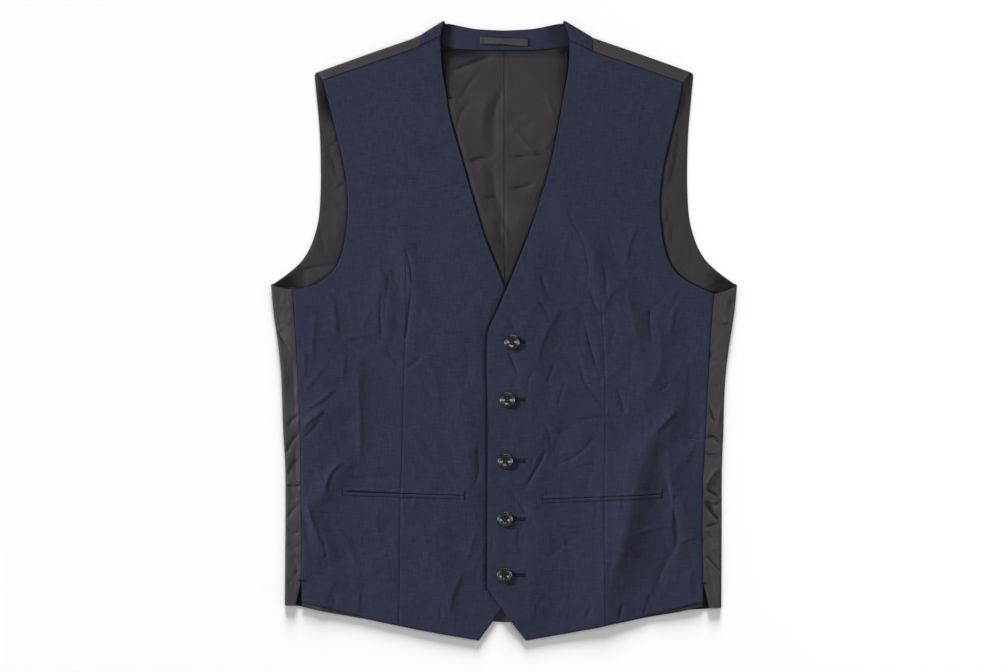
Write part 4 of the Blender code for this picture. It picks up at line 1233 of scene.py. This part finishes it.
def front_plan(side):
    """Places on a front in rows from the front edge to the side, with close columns at the dart."""
    edge = ladder(*[
        (curve_through(one_side(rows, side)), cells)
        for rows, cells in zip((CUTAWAY, BUTTON_STAND, V_NECK), FRONT_ROWS)
    ])
    seam = SIDE_SEAMS[side.name]
    shoulder_end = Point(side.shoulder_end, float(shoulder_seam_height(side, side.shoulder_end)))
    outer_stages = (
        stretch(seam, FRONT_CORNER, STAND_FOOT_AT_SEAM),
        stretch(seam, STAND_FOOT_AT_SEAM, side.underarm.height),
        curve_through([side.underarm, *FRONT_ARMHOLE, shoulder_end]),
    )
    outer = ladder(*zip(outer_stages, FRONT_ROWS))
    outer[: FRONT_ROWS[0] + FRONT_ROWS[1] + 1, 0] -= SEAM_GAP / 2
    edge[-1, 1] = float(shoulder_seam_height(side, edge[-1, 0]))
    dart = DART_LINES[side.name]
    share = (out_at(dart, (edge[:, 1] + outer[:, 1]) / 2) - edge[:, 0]) / (outer[:, 0] - edge[:, 0])
    width = np.linalg.norm(outer - edge, axis=1)
    inner = np.linspace(0, 1, INNER_COLUMNS + 1)[None, :-1] * (share + NEAR_DART[0] / width)[:, None]
    close = share[:, None] + np.array(NEAR_DART)[None, :] / width[:, None]
    last = share + NEAR_DART[-1] / width
    beyond = last[:, None] + np.linspace(0, 1, OUTER_COLUMNS + 1)[None, 1:] * (1 - last)[:, None]
    shares = np.concatenate([inner, close, beyond], axis=1)
    plan = edge[:, None, :] + shares[:, :, None] * (outer - edge)[:, None, :]
    share_up = np.linspace(0, 1, len(edge))
    bow = np.outer(np.clip(1 - 6 * share_up, 0, 1), np.ones(shares.shape[1])) * 4 * shares * (1 - shares)
    plan[:, :, 1] -= FRONT_HEM_BOW * bow
    top_row = shoulder_seam_height(side, plan[-1, :, 0]) - SEAM_GAP / 2
    plan[:, :, 1] += np.outer(smooth_step((share_up - 0.8) / 0.2), top_row - plan[-1, :, 1])
    return plan


def make_plain_weave():
    """Plain weave: the tone along each thread where it is on top, with slubs, and its height."""
    group, given, result = new_group(
        "plain weave", {"Threads per metre": 2100.0, "Slub": 0.5}, ["Tone", "Height"]
    )
    parts = place_parts(group)
    heights, threads = [], []
    for axis in ("X", "Y"):
        run = math_node(group, "MULTIPLY", parts[axis], given["Threads per metre"])
        threads.append(math_node(group, "FLOOR", run))
        centred = math_node(group, "SUBTRACT", math_node(group, "FRACT", run), 0.5)
        heights.append(math_node(group, "COSINE", math_node(group, "MULTIPLY", centred, math.pi)))
    parity = math_node(group, "FLOORED_MODULO", math_node(group, "ADD", *threads), 2.0)
    raised = []
    for own, other in ((0, 1), (1, 0)):
        dip = math_node(group, "MULTIPLY_ADD", heights[other], 0.5, 0.5)
        raised.append(math_node(group, "MULTIPLY", heights[own], dip))
    tones = []
    for thread, along, offset in ((threads[0], "Y", 0.0), (threads[1], "X", 31.7)):
        vector = add_node(group, "ShaderNodeCombineXYZ", {
            "X": math_node(group, "MULTIPLY_ADD", thread, 0.73, offset),
            "Y": math_node(group, "MULTIPLY", parts[along], 70.0),
        })
        tones.append(noise_at(group, vector.outputs[0], Scale=1.0, Detail=2.0))
    streaks = stretched_noise(group, 900.0, 90.0, 1.0), stretched_noise(group, 90.0, 900.0, 8.0)
    broad = math_node(group, "SUBTRACT", math_node(group, "ADD", *streaks), 1.0)
    slub = math_node(group, "MULTIPLY", broad, given["Slub"])
    feed(group, result, {
        "Tone": math_node(group, "ADD", blend(group, "FLOAT", parity, *tones), slub),
        "Height": blend(group, "FLOAT", parity, *raised),
    })
    return group


PLAIN_WEAVE = make_plain_weave()
NAVY_DARK = (0.0088, 0.0102, 0.0200, 1.0)
NAVY_LIGHT = (0.0234, 0.0268, 0.0490, 1.0)
NAVY_SEAM_AND_SHADE = (0.0022, 0.0026, 0.0055, 1.0)


def make_suiting(name, seam_and_shade_mark):
    """Navy suiting, with painted shade along its edges, and darker where the extra attribute is marked:
    dart seam lines and a painted lap shadow on the fronts, painted shade on the band.
    """
    suiting, tree, shader = new_material(name)
    weave = place_group(tree, PLAIN_WEAVE, Slub=0.7)
    mottle = place_group(tree, UNEVENNESS, Size=9.0)["Value"]
    broad = math_node(tree, "MULTIPLY_ADD", mottle, 0.30, -0.15)
    colour = blend(tree, "RGBA", math_node(tree, "ADD", weave["Tone"], broad), NAVY_DARK, NAVY_LIGHT)
    for attribute, amount in (("painted edge shade", 0.85), (seam_and_shade_mark, 0.75)):
        colour = darken(tree, colour, attribute, amount, NAVY_SEAM_AND_SHADE)
    feed(tree, shader, {
        "Base Color": colour,
        "Roughness": 0.82,
        "Specular IOR Level": 0.10,
        "Sheen Weight": 0.03,
        "Sheen Roughness": 0.55,
        "Sheen Tint": (0.55, 0.62, 0.85, 1.0),
        "Normal": bumped(tree, weave["Height"], 0.6, 0.00014),
    })
    return suiting


# The fronts' seam attribute marks their dart lines and, on the right front, a painted shadow along the
# lap.
SUITING = make_suiting("navy suiting", "seam")


def sew_front(side):
    plan = front_plan(side)
    out, height = plan[:, :, 0], plan[:, :, 1]
    lift = front_base(side, out, height) + front_relief(side, out, height)
    mid = np.dstack([plan, lift])
    made = cloth_shell(f"suiting_front_{side.name}", mid, FRONT_WALL, side.sign, SUITING, under_step=2)
    gap, there = dart_shape(side, out, height)
    pressed = 0.35 + 0.65 * smooth_step((DART_PRESSED[side.name] - height) / 24.0)
    dart_lines_and_lap_shadow = np.clip(1 - gap / SEAM_STITCH, 0, 1) * there * pressed * 0.8
    # Painted shadow on the right front along the edge of the left front that laps over it.
    if side is RIGHT:
        past, lapped = at_lap(out, height)
        depth = 0.60 + 0.20 * ramp(height, 290.0, 320.0)
        dart_lines_and_lap_shadow += depth * np.exp(-((past - 0.4) / 2.0) ** 2) * lapped
    mark(made.data, "seam", np.clip(dart_lines_and_lap_shadow, 0, 1).ravel())
    close_seams(made.data, side)
    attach(made, "root")
    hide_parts(f"front_{side.name}")
    return plan


FRONT_PLANS = {half.name: sew_front(half) for half in SIDES}

# ----------------------------------------
# Hem linings. The satin lining of each front, felled inside its hem, has dropped a little and shows
# below it as a narrow strip, widest at the side vent.
# ----------------------------------------
TRIM_WALL = 0.9
TRIM_CLEARANCE = 0.35
HEM_LINING_DEPTH = 14.0
HEM_LINING_ROLL = 0.5
HEM_LINING_SAG = 0.35
HEM_LINING_SHOWS = rows_of(
    Point,
    (62.0, 0.3), (90.0, 0.7), (145.0, 1.4), (177.0, 3.8), (211.0, 5.4),
)


def sew_hem_lining(side):
    cells, depth_cells = 110, 12
    hem = FRONT_PLANS[side.name][0]
    outs = np.linspace(HEM_LINING_SHOWS[0].out, hem[-1, 0] - 0.6, cells + 1)
    hem_height = np.interp(outs, hem[:, 0], hem[:, 1])
    shows = height_at(curve_through(HEM_LINING_SHOWS), outs)
    share = np.linspace(0, 1, depth_cells + 1) ** 1.4
    out = np.repeat(outs[:, None], depth_cells + 1, axis=1)
    height = (hem_height - shows)[:, None] + share * (HEM_LINING_DEPTH + shows)[:, None]
    above = np.maximum(height, hem_height[:, None] + 0.8)
    underside = front_top(side, out, above) - FRONT_WALL
    dropped = smooth_step((above - height) / 2.0)
    roll = HEM_LINING_ROLL * dropped * np.sin(out * 0.21 + 0.9 * np.sin(out * 0.09))
    roll -= HEM_LINING_SAG * dropped
    lift = np.maximum(underside - TRIM_CLEARANCE - TRIM_WALL / 2 + roll, BACK_WALL + TRIM_WALL / 2 + 0.2)
    mid = np.dstack([out, height, lift])
    made = cloth_shell(f"hem_lining_strip_{side.name}", mid, TRIM_WALL, side.sign, LINING)
    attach(made, "root")
    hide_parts(f"hem_lining_{side.name}")


for half in SIDES:
    sew_hem_lining(half)

# ----------------------------------------
# Neck band. A strip of the fronts' suiting faces the back of the neck and runs over both shoulders
# to the shoulder seams, where the fronts are sewn to it. Its neck edge stands up a little.
# ----------------------------------------
NECK_EDGE = rows_of(
    Point,
    (0.0, 640.6), (27.5, 642.0), (44.0, 644.8), (55.0, 647.4), (62.0, 648.2),
)
BAND_CELLS = {"neck": 44, "bend": 10, "flap": 8, "depth": 16}
BAND_STANDS = 1.35
NECK_EDGE_STANDS = 0.9


def band_stand(out, share):
    """How far the band stands off the back, at a share of its depth from the neck edge."""
    return (BAND_STANDS + NECK_EDGE_STANDS * (1 - ramp(share, 0.0, 0.95))) * (1 - ramp(out, 44.0, 60.0))


def neck_band_middle():
    neck = evenly(curve_through(NECK_EDGE), BAND_CELLS["neck"])
    halves = {}
    for side in SIDES:
        seam = band_seam_line(side, BAND_CELLS["neck"])
        neck_end = one_side(V_NECK, side)[-1].out
        strips = []
        for share in np.linspace(0, 1, BAND_CELLS["depth"] + 1):
            flat = (1 - share) * neck + share * seam
            stand = band_stand(flat[:, 0], share)
            line = [(*point, BACK_MID + rise) for point, rise in zip(flat, stand)]
            out, start, _ = line[-1]
            end_out = (1 - share) * neck_end + share * side.band_end
            flap = start - float(shoulder_seam_height(side, end_out)) - SEAM_GAP / 2
            for length in lengths_round(flap, BAND_CELLS["bend"], BAND_CELLS["flap"]):
                past, lift = past_fold(length)
                across = (end_out - out) * length / (BEND_LENGTH + flap)
                line.append((out + across, start + past, lift))
            strips.append(line)
        halves[side.name] = np.array(strips).transpose(1, 0, 2)
    right = halves["right"][::-1].copy()
    right[:, :, 0] *= -1
    return np.vstack([right[:-1], halves["left"]])


def sew_neck_band():
    mid = neck_band_middle()
    suiting = make_suiting("navy suiting band", "painted_shade")
    made = cloth_shell("suiting_neck_band", mid, BACK_WALL, 1, suiting)
    out = np.abs(mid[:, :, 0])
    # Painted shade at the band's ends, where it runs into the corners of the neck.
    inside = smooth_step((FOLDED_MID - 1.0 - mid[:, :, 2]) / 2.0)
    in_neck = np.maximum(NECK_HALF_WIDTH - out, 0.0) * 0.75
    mark(made.data, "painted_shade", (painted_shade(in_neck, np.full_like(out, 640.0)) * inside).ravel())
    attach(made, "root")
    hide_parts("neck_band")


sew_neck_band()

# ----------------------------------------
# Hanger loop. A short flat tape of charcoal satin, sewn to the band at both ends with a few bars of
# thread and bowing up a little between them, for hanging the waistcoat on a hook.
# ----------------------------------------
LOOP_LENGTH = 50.0
LOOP_DEPTH = 7.2
LOOP_HEIGHT = 629.0
LOOP_SLANT = 2.4
LOOP_RISE = 1.1
LOOP_DARK = (0.014, 0.0125, 0.014, 1.0)
LOOP_LIGHT = (0.045, 0.040, 0.044, 1.0)
LOOP_NARROWEST = 0.46
LOOP_TWIST = 0.45
LOOP_RIBS = 3
LOOP_RIB_RISE = 0.14
LOOP_TACKS = (0.035, 0.075, 0.925, 0.965)
THREAD_SIDES = 6
STITCH_POINTS = 5
STITCH_SUNK = 0.12
THREAD_DARK = (0.0040, 0.0050, 0.0105, 1.0)
THREAD_LIGHT = (0.0100, 0.0125, 0.0240, 1.0)


def thread_tubes(name, bars, radius, surface=None):
    """Short lengths of thread: each bar is a line of (x, height, lift) points made into a round
    tube. Where a surface is given, as a function of place, the lifts are above it."""
    sides = THREAD_SIDES
    ends = np.cumsum([len(bar) for bar in bars])
    points = np.concatenate(bars).astype(float)
    if surface is not None:
        points[:, 2] += surface(points[:, 0], points[:, 1])
    verts, faces = [], []
    turns = np.linspace(0, 2 * math.pi, sides, endpoint=False)
    for line in np.split(points, ends[:-1]):
        heading = np.gradient(line, axis=0)
        heading /= np.linalg.norm(heading, axis=1, keepdims=True)
        aside = np.cross(heading, [0.0, 0.0, 1.0])
        aside /= np.maximum(np.linalg.norm(aside, axis=1, keepdims=True), 1e-9)
        above = np.cross(aside, heading)
        thick = np.full(len(line), radius)
        thick[[0, -1]] *= 0.45
        first = len(verts)
        for k, point in enumerate(line):
            for turn in turns:
                verts.append(point + thick[k] * (math.cos(turn) * aside[k] + math.sin(turn) * above[k]))
        for k in range(len(line) - 1):
            for j in range(sides):
                a, b = first + k * sides + j, first + k * sides + (j + 1) % sides
                faces.append((a, a + sides, b + sides, b))
        faces.append(tuple(first + j for j in range(sides)))
        faces.append(tuple(first + (len(line) - 1) * sides + j for j in range(sides))[::-1])
    places = (np.array(verts) - [0, FRONT_LENGTH / 2, 0]) * MM
    mesh = bpy.data.meshes.new(name)
    mesh.from_pydata(places.tolist(), [], faces)
    mesh.shade_smooth()
    mesh.materials.append(THREAD)
    made = add_object(name, mesh)
    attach(made, "root")


def stitch(start, end, crown):
    """One stitch over the cloth, from a hole to a hole, as (x, height, lift above the cloth)."""
    share = np.linspace(0, 1, STITCH_POINTS)
    places = np.array(start)[None] * (1 - share[:, None]) + np.array(end)[None] * share[:, None]
    return np.column_stack([places, crown * np.sin(math.pi * share) ** 0.6 - STITCH_SUNK])


def make_thread():
    """Dark polyester sewing thread: fine twist, a dull shine."""
    thread, tree, shader = new_material("dark sewing thread")
    mottle = place_group(tree, UNEVENNESS, Size=900.0)["Value"]
    feed(tree, shader, {
        "Base Color": blend(tree, "RGBA", mottle, THREAD_DARK, THREAD_LIGHT),
        "Roughness": math_node(tree, "MULTIPLY_ADD", mottle, 0.2, 0.50),
        "Specular IOR Level": 0.15,
        "Normal": bumped(tree, mottle, 0.5, 0.00005),
    })
    return thread


THREAD = make_thread()


def loop_lift(x, height):
    """Lift of the top of the hanger tape."""
    x, height = np.asarray(x, float), np.asarray(height, float)
    share = np.clip(x / LOOP_LENGTH + 0.5, 0, 1)
    on_band = band_stand(np.abs(x), np.clip((641.0 - height) / 20.5, 0, 1))
    bow = LOOP_RISE * np.sin(math.pi * share) ** 2
    twist = LOOP_TWIST * np.exp(-(((share - LOOP_NARROWEST) / 0.1) ** 2))
    twist = twist * (height - LOOP_HEIGHT) / LOOP_DEPTH * 2
    return BACK_WALL + on_band + 0.35 + bow + twist + TRIM_WALL


def sew_to(trim, carrier):
    """A narrow trim belongs to the cloth that it is sewn to, and goes wherever that goes."""
    trim.parent = bpy.data.objects[carrier]


def sew_hanger_loop():
    cells, depth_cells = 70, 8
    share = np.linspace(0, 1, cells + 1)[:, None]
    offset = np.linspace(-0.5, 0.5, depth_cells + 1)[None, :]
    narrowed = LOOP_DEPTH * (1 - 0.16 * np.exp(-(((share - LOOP_NARROWEST) / 0.16) ** 2)))
    height = LOOP_HEIGHT - LOOP_SLANT * (share - 0.5) + offset * narrowed
    x = LOOP_LENGTH * (share - 0.5) + np.zeros_like(height)
    ribs = LOOP_RIB_RISE * np.cos(offset * 2 * math.pi * LOOP_RIBS)
    lift = loop_lift(x, height) - TRIM_WALL / 2 + ribs - 0.05
    mid = np.dstack([x, height, lift])
    tape = make_satin("hanger tape", LOOP_DARK, LOOP_LIGHT)
    made = cloth_shell("tape_hanger_loop", mid, TRIM_WALL, 1, tape)
    sew_to(made, "suiting_neck_band")
    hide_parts("hanger_loop")
    bars = []
    for share_along in LOOP_TACKS:
        x = LOOP_LENGTH * (share_along - 0.5)
        middle = LOOP_HEIGHT - LOOP_SLANT * (share_along - 0.5)
        for k in range(4):
            low = middle - LOOP_DEPTH / 2 + 0.5 + k * 1.4
            bars.append(stitch((x, low), (x, low + 1.1), 0.12))
    thread_tubes("thread_hanger_loop", bars, 0.16, loop_lift)


sew_hanger_loop()

# ----------------------------------------
# Pockets. One jetted pocket low on each front: two narrow welts of suiting, folded at the mouth and
# sewn down along their far edges, a pocket lining between them, near black with painted shade, and a bar
# tack at each end.
# ----------------------------------------
Pocket = namedtuple("Pocket", "inner_out inner_height outer_out outer_height")
POCKETS = {
    "right": Pocket(41.5, 152.4, 169.0, 157.2),
    "left": Pocket(40.5, 148.6, 165.5, 154.0),
}
WELT_DEPTH = 3.8
WELT_WALL = 0.6
WELT_CROWN = 0.42
MOUTH_LINING_HALF = 1.1
POCKET_LINING_WALL = 0.2
WELT_SEAM_SHADE = {"upper": 0.45, "lower": 0.65}
POCKET_BOW = 0.3
MOUTH_INNER, MOUTH_OUTER = 0.6, {"right": 1.7, "left": 0.8}
TACK_LENGTH = 9.6
TACK_WIDTH = 1.25
TACK_PITCH = 0.34
TACK_THREAD = 0.2
# Tones of the pocket lining: its own dark colour, darkened further as painted shade of the slit.
POCKET_DARK = (0.0040, 0.0045, 0.0080, 1.0)
POCKET_LIGHT = (0.0080, 0.0090, 0.0150, 1.0)


def on_front(side):
    """Top of a front as a function of x and height."""
    def lift(x, height):
        return front_top(side, side.sign * np.asarray(x, float), np.asarray(height, float))
    return lift


def pocket_line(side, share):
    pocket = POCKETS[side.name]
    out = pocket.inner_out + share * (pocket.outer_out - pocket.inner_out)
    height = pocket.inner_height + share * (pocket.outer_height - pocket.inner_height)
    return out, height - POCKET_BOW * (1 - (2 * share - 1) ** 2)


def sew_welt(side, place, upward):
    cells, depth_cells = 150, 10
    share = np.linspace(0, 1, cells + 1)[:, None]
    depth = np.linspace(0, 1, depth_cells + 1)[None, :]
    out, middle = pocket_line(side, share)
    gape = smooth_step(share * 1.6 - 0.5) * smooth_step((1 - share) / 0.06)
    mouth = MOUTH_INNER + (MOUTH_OUTER[side.name] - MOUTH_INNER) * gape
    height = middle + upward * (mouth / 2 + depth * WELT_DEPTH)
    out = out + np.zeros_like(height)
    rounded = np.sin(math.pi * np.clip(depth * 0.82 + 0.18, 0, 1)) ** 1.3
    crown = 0.30 + WELT_CROWN * rounded + 0.04 * np.sin(out * 0.9)
    ends = ramp(share, 0.0, 0.012) * smooth_step((1 - share) / 0.012)
    lift = front_top(side, out, height) + (crown - 0.22) * (0.35 + 0.65 * ends)
    mid = np.dstack([out, height, lift])
    made = cloth_shell(f"{place}_welt_{side.name}", mid, WELT_WALL, side.sign, SUITING)
    sewn = WELT_SEAM_SHADE[place] * ramp(depth, 0.76, 0.9)
    mark(made.data, "seam", (sewn + np.zeros_like(out)).ravel())
    sew_to(made, f"suiting_front_{side.name}")
    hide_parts(f"pocket_{place}_welt_{side.name}")


def line_pocket(side):
    """The strip of pocket lining seen between the welts, its near-black tone partly painted shade of the
    slit.
    """
    cells = 120
    share = np.linspace(0.004, 0.996, cells + 1)[:, None]
    out, middle = pocket_line(side, share)
    height = middle + np.array([[-MOUTH_LINING_HALF, 0.0, MOUTH_LINING_HALF]])
    out = out + np.zeros_like(height)
    mid = np.dstack([out, height, front_top(side, out, height) - 0.02])
    lining = make_satin(f"pocket lining {side.name}", POCKET_DARK, POCKET_LIGHT, 0.05, 0.7)
    made = cloth_shell(f"pocket_mouth_{side.name}", mid, POCKET_LINING_WALL, side.sign, lining)
    sew_to(made, f"suiting_front_{side.name}")


def bar_tack(centre, length, width, upright=True):
    """A bar of close stitches across a short line."""
    bars = []
    count = int(length / TACK_PITCH)
    for k in range(count + 1):
        along = (k / count - 0.5) * length
        half = width / 2 * (1.0 if k % 2 else 0.86)
        if upright:
            x, height = centre[0], centre[1] + along
            ends = (x - half, height), (x + half, height + TACK_PITCH * 0.5)
        else:
            x, height = centre[0] + along, centre[1]
            ends = (x, height - half), (x + TACK_PITCH * 0.5, height + half)
        bars.append(stitch(*ends, 0.3))
    return bars


for half in SIDES:
    line_pocket(half)
    sew_welt(half, "upper", 1)
    sew_welt(half, "lower", -1)
    tacks = []
    for share_along in (-0.003, 1.003):
        out, height = pocket_line(half, share_along)
        tacks += bar_tack((half.sign * out, height), TACK_LENGTH, TACK_WIDTH)
    thread_tubes(f"thread_pocket_tacks_{half.name}", tacks, TACK_THREAD, on_front(half))

# ----------------------------------------
# Buttonholes. Five, worked through the left front in dark thread: close stitches along both lips of
# the slit and a bar at its far end. Each runs from under its button away from the front edge.
# ----------------------------------------
Button = namedtuple("Button", "across height turn")
BUTTONS = rows_of(
    Button,
    (8.3, 313.3, 20.0), (3.5, 252.6, 0.0), (1.4, 188.4, 90.0), (1.0, 127.4, 50.0), (0.4, 68.7, 5.0),
)
HOLE_END = 21.4
HOLE_HALF_DEPTH = 2.1
HOLE_PITCH = 0.44
HOLE_SLIT_HALF = 0.22
HOLE_BEAD_OFF = 0.36
HOLE_STITCH_CROWN = 0.34


def work_buttonhole(number, button):
    height = button.height + 0.5
    start = button.across - 2.0
    count = int((HOLE_END - start) / HOLE_PITCH)
    bars = []
    for k in range(count + 1):
        x = start + k * HOLE_PITCH
        reach = HOLE_HALF_DEPTH + 0.16 * math.sin(1.7 * k)
        for lip in (-1, 1):
            ends = (x, height + lip * HOLE_SLIT_HALF), (x + 0.1, height + lip * reach)
            bars.append(stitch(*ends, HOLE_STITCH_CROWN))
    for lip in (-1, 1):
        points = np.linspace(start, HOLE_END, 2 * count)
        beads = 0.26 + 0.05 * np.cos(np.arange(len(points)) * math.pi)
        bars.append(np.column_stack([points, np.full_like(points, height + lip * HOLE_BEAD_OFF), beads]))
    bars += bar_tack((HOLE_END + 0.2, height), 2 * HOLE_HALF_DEPTH + 0.7, 1.1)
    thread_tubes(f"thread_buttonhole_{number}", bars, TACK_THREAD, on_front(LEFT))


for number, button in enumerate(BUTTONS, start=1):
    work_buttonhole(number, button)

# ----------------------------------------
# Buttons. Five turned four-hole buttons of glossy black resin, with a rounded rim, a fine groove and
# a dished middle, each sewn on through the buttonhole with two bars of thread and a short shank.
# ----------------------------------------
BUTTON_RADIUS = 8.2
BUTTON_SEGMENTS = 72
BUTTON_SEAT = 0.85
BUTTON_SHARP = math.radians(40)
HOLE_RADIUS = 0.85
HOLE_SPREAD = 1.45
HOLE_SEGMENTS = 20
BUTTON_OUTLINE = rows_of(
    Point,
    (5.8, 0.0), (6.6, 0.12), (7.4, 0.45), (7.95, 0.92), (BUTTON_RADIUS, 1.45), (8.17, 1.72),
    (8.05, 1.95), (7.85, 2.13), (7.6, 2.25), (7.4, 2.33), (7.0, 2.49), (6.85, 2.49), (6.7, 2.34),
    (6.56, 2.08), (6.4, 1.97), (5.9, 1.95), (5.75, 2.04), (5.6, 2.26), (5.45, 2.40), (5.2, 2.44),
    (4.95, 2.36), (4.5, 2.16), (4.0, 1.94), (3.6, 1.77), (3.25, 1.62), (3.0, 1.45), (2.7, 1.40),
)
WELL_FLOOR = 1.40
RESIN_DARK = (0.0030, 0.0030, 0.0032, 1.0)
RESIN_LIGHT = (0.0060, 0.0058, 0.0060, 1.0)
# Two long lights beside the buttons and one past the neck, on the buttons alone: across, along,
# width, length and watts.
KICKERS = [
    (-1.25, -0.15, 0.35, 2.6, 56.0),
    (1.25, -0.15, 0.35, 2.6, 52.0),
    (0.3, 1.30, 1.6, 0.35, 30.0),
]
KICKER_HEIGHT = 1.25
BUTTON_CLEARANCE = 0.5
SHANK_TURNS = 3
SHANK_RADIUS = 1.5
STRANDS = (-0.42, -0.14, 0.14, 0.42)
STRAND_RADIUS = 0.19


def mesh_from(name, shape):
    made = bpy.data.meshes.new(name)
    shape.to_mesh(made)
    shape.free()
    return made


def turn_button():
    """A blank turned to the outline, with its four holes drilled."""
    blank = bmesh.new()
    angles = [2 * math.pi * k / BUTTON_SEGMENTS for k in range(BUTTON_SEGMENTS)]
    rings = []
    for radius, lift in BUTTON_OUTLINE:
        places = [(radius * math.cos(a) * MM, radius * math.sin(a) * MM, lift * MM) for a in angles]
        rings.append([blank.verts.new(place) for place in places])
    for lower, upper in zip(rings, rings[1:]):
        for k in range(BUTTON_SEGMENTS):
            after = (k + 1) % BUTTON_SEGMENTS
            blank.faces.new([lower[k], lower[after], upper[after], upper[k]])
    blank.faces.new(rings[0][::-1])
    blank.faces.new(rings[-1])
    body = add_object("button blank", mesh_from("button blank", blank))
    drill = bmesh.new()
    for across in (-HOLE_SPREAD, HOLE_SPREAD):
        for along in (-HOLE_SPREAD, HOLE_SPREAD):
            made = bmesh.ops.create_cone(
                drill, cap_ends=True, segments=HOLE_SEGMENTS,
                radius1=HOLE_RADIUS * MM, radius2=HOLE_RADIUS * MM, depth=8 * MM,
            )
            bmesh.ops.translate(drill, verts=made["verts"], vec=(across * MM, along * MM, MM))
    cutter = add_object("button drill", mesh_from("button drill", drill))
    cut = body.modifiers.new("holes", "BOOLEAN")
    cut.object = cutter
    cut.operation = "DIFFERENCE"
    cut.solver = "EXACT"
    graph = bpy.context.evaluated_depsgraph_get()
    finished = bpy.data.meshes.new_from_object(body.evaluated_get(graph))
    bpy.data.objects.remove(body)
    bpy.data.objects.remove(cutter)
    finished.shade_smooth()
    finished.set_sharp_from_angle(angle=BUTTON_SHARP)
    finished.materials.clear()
    return finished


def make_resin():
    """Black resin, polished, its tone and shine a little uneven."""
    resin, tree, shader = new_material("black resin")
    mottle = place_group(tree, UNEVENNESS, Size=160.0)["Value"]
    feed(tree, shader, {
        "Base Color": blend(tree, "RGBA", mottle, RESIN_DARK, RESIN_LIGHT),
        "Roughness": math_node(tree, "MULTIPLY_ADD", mottle, 0.08, 0.17),
        "Specular IOR Level": 0.26,
    })
    return resin


def sew_on_buttons():
    shared = turn_button()
    resin = make_resin()
    kickers = [
        hang_softbox(f"kicker {across}", (across, along, KICKER_HEIGHT), width, length, watts)
        for across, along, width, length, watts in KICKERS
    ]
    for light in kickers:
        flag(light, "INCLUDE", [])
    surface = on_front(LEFT)
    angles = np.linspace(0, 2 * math.pi, 24, endpoint=False)
    for number, button in enumerate(BUTTONS, start=1):
        x = button.across + BUTTON_RADIUS * BUTTON_SEAT * np.cos(angles)
        height = button.height + BUTTON_RADIUS * BUTTON_SEAT * np.sin(angles)
        lift = float(surface(x, height).max()) + BUTTON_CLEARANCE
        turn = math.radians(button.turn)
        body = shared.copy()
        body.materials.append(resin)
        place = (button.across * MM, (button.height - FRONT_LENGTH / 2) * MM, lift * MM)
        body.transform(Matrix.Translation(place) @ Matrix.Rotation(turn, 4, "Z"))
        made = add_object(f"resin_button_{number}", body)
        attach(made, "root")
        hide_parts(f"button_{number}")
        for light in CLOTH_LIGHTS:
            set_behind_flag(light, "EXCLUDE", [made])
        for light in kickers:
            set_behind_flag(light, "INCLUDE", [made])
        sew_thread_bars(number, button, lift, turn)


def sew_thread_bars(number, button, lift, turn):
    """Two bars of thread from hole to hole on top, and the wound shank below."""
    bars = []
    share = np.linspace(0, 1, 9)
    along = (2 * share - 1) * (HOLE_SPREAD + 0.15)
    rise = WELL_FLOOR - 0.7 + 1.15 * np.sin(math.pi * share) ** 0.45
    for row in (-HOLE_SPREAD, HOLE_SPREAD):
        for strand in STRANDS:
            across = np.full(9, row + strand)
            x = button.across + along * math.cos(turn) - across * math.sin(turn)
            height = button.height + along * math.sin(turn) + across * math.cos(turn)
            bars.append(np.column_stack([x, height, lift + rise]))
    under = float(on_front(LEFT)([button.across], [button.height])[0])
    turns = np.linspace(0, 2 * math.pi * SHANK_TURNS, 40)
    bars.append(np.column_stack([
        button.across + SHANK_RADIUS * np.cos(turns),
        button.height + SHANK_RADIUS * np.sin(turns),
        np.linspace(under + 0.1, lift + 0.15, 40),
    ]))
    thread_tubes(f"thread_button_{number}", bars, STRAND_RADIUS)


sew_on_buttons()

# ----------------------------------------
# Vent tacks. A short bar of thread across the top of each side vent keeps the side seam from tearing.
# ----------------------------------------
VENT_TACK_LENGTH = 5.4
VENT_TACK_WIDTH = 2.2


def at_vent(x, height):
    """Lift of the cloth at the top of a side vent."""
    return np.full_like(x, FOLDED_MID + FRONT_WALL / 2 + 0.1)


for half in SIDES:
    tack_height = half.hem_at_fold + VENT_HEIGHT - 0.5
    seam_out = float(out_at(SIDE_SEAMS[half.name], tack_height))
    crossing = bar_tack((half.sign * seam_out, tack_height), VENT_TACK_LENGTH, VENT_TACK_WIDTH, False)
    thread_tubes(f"thread_vent_tack_{half.name}", crossing, TACK_THREAD, at_vent)
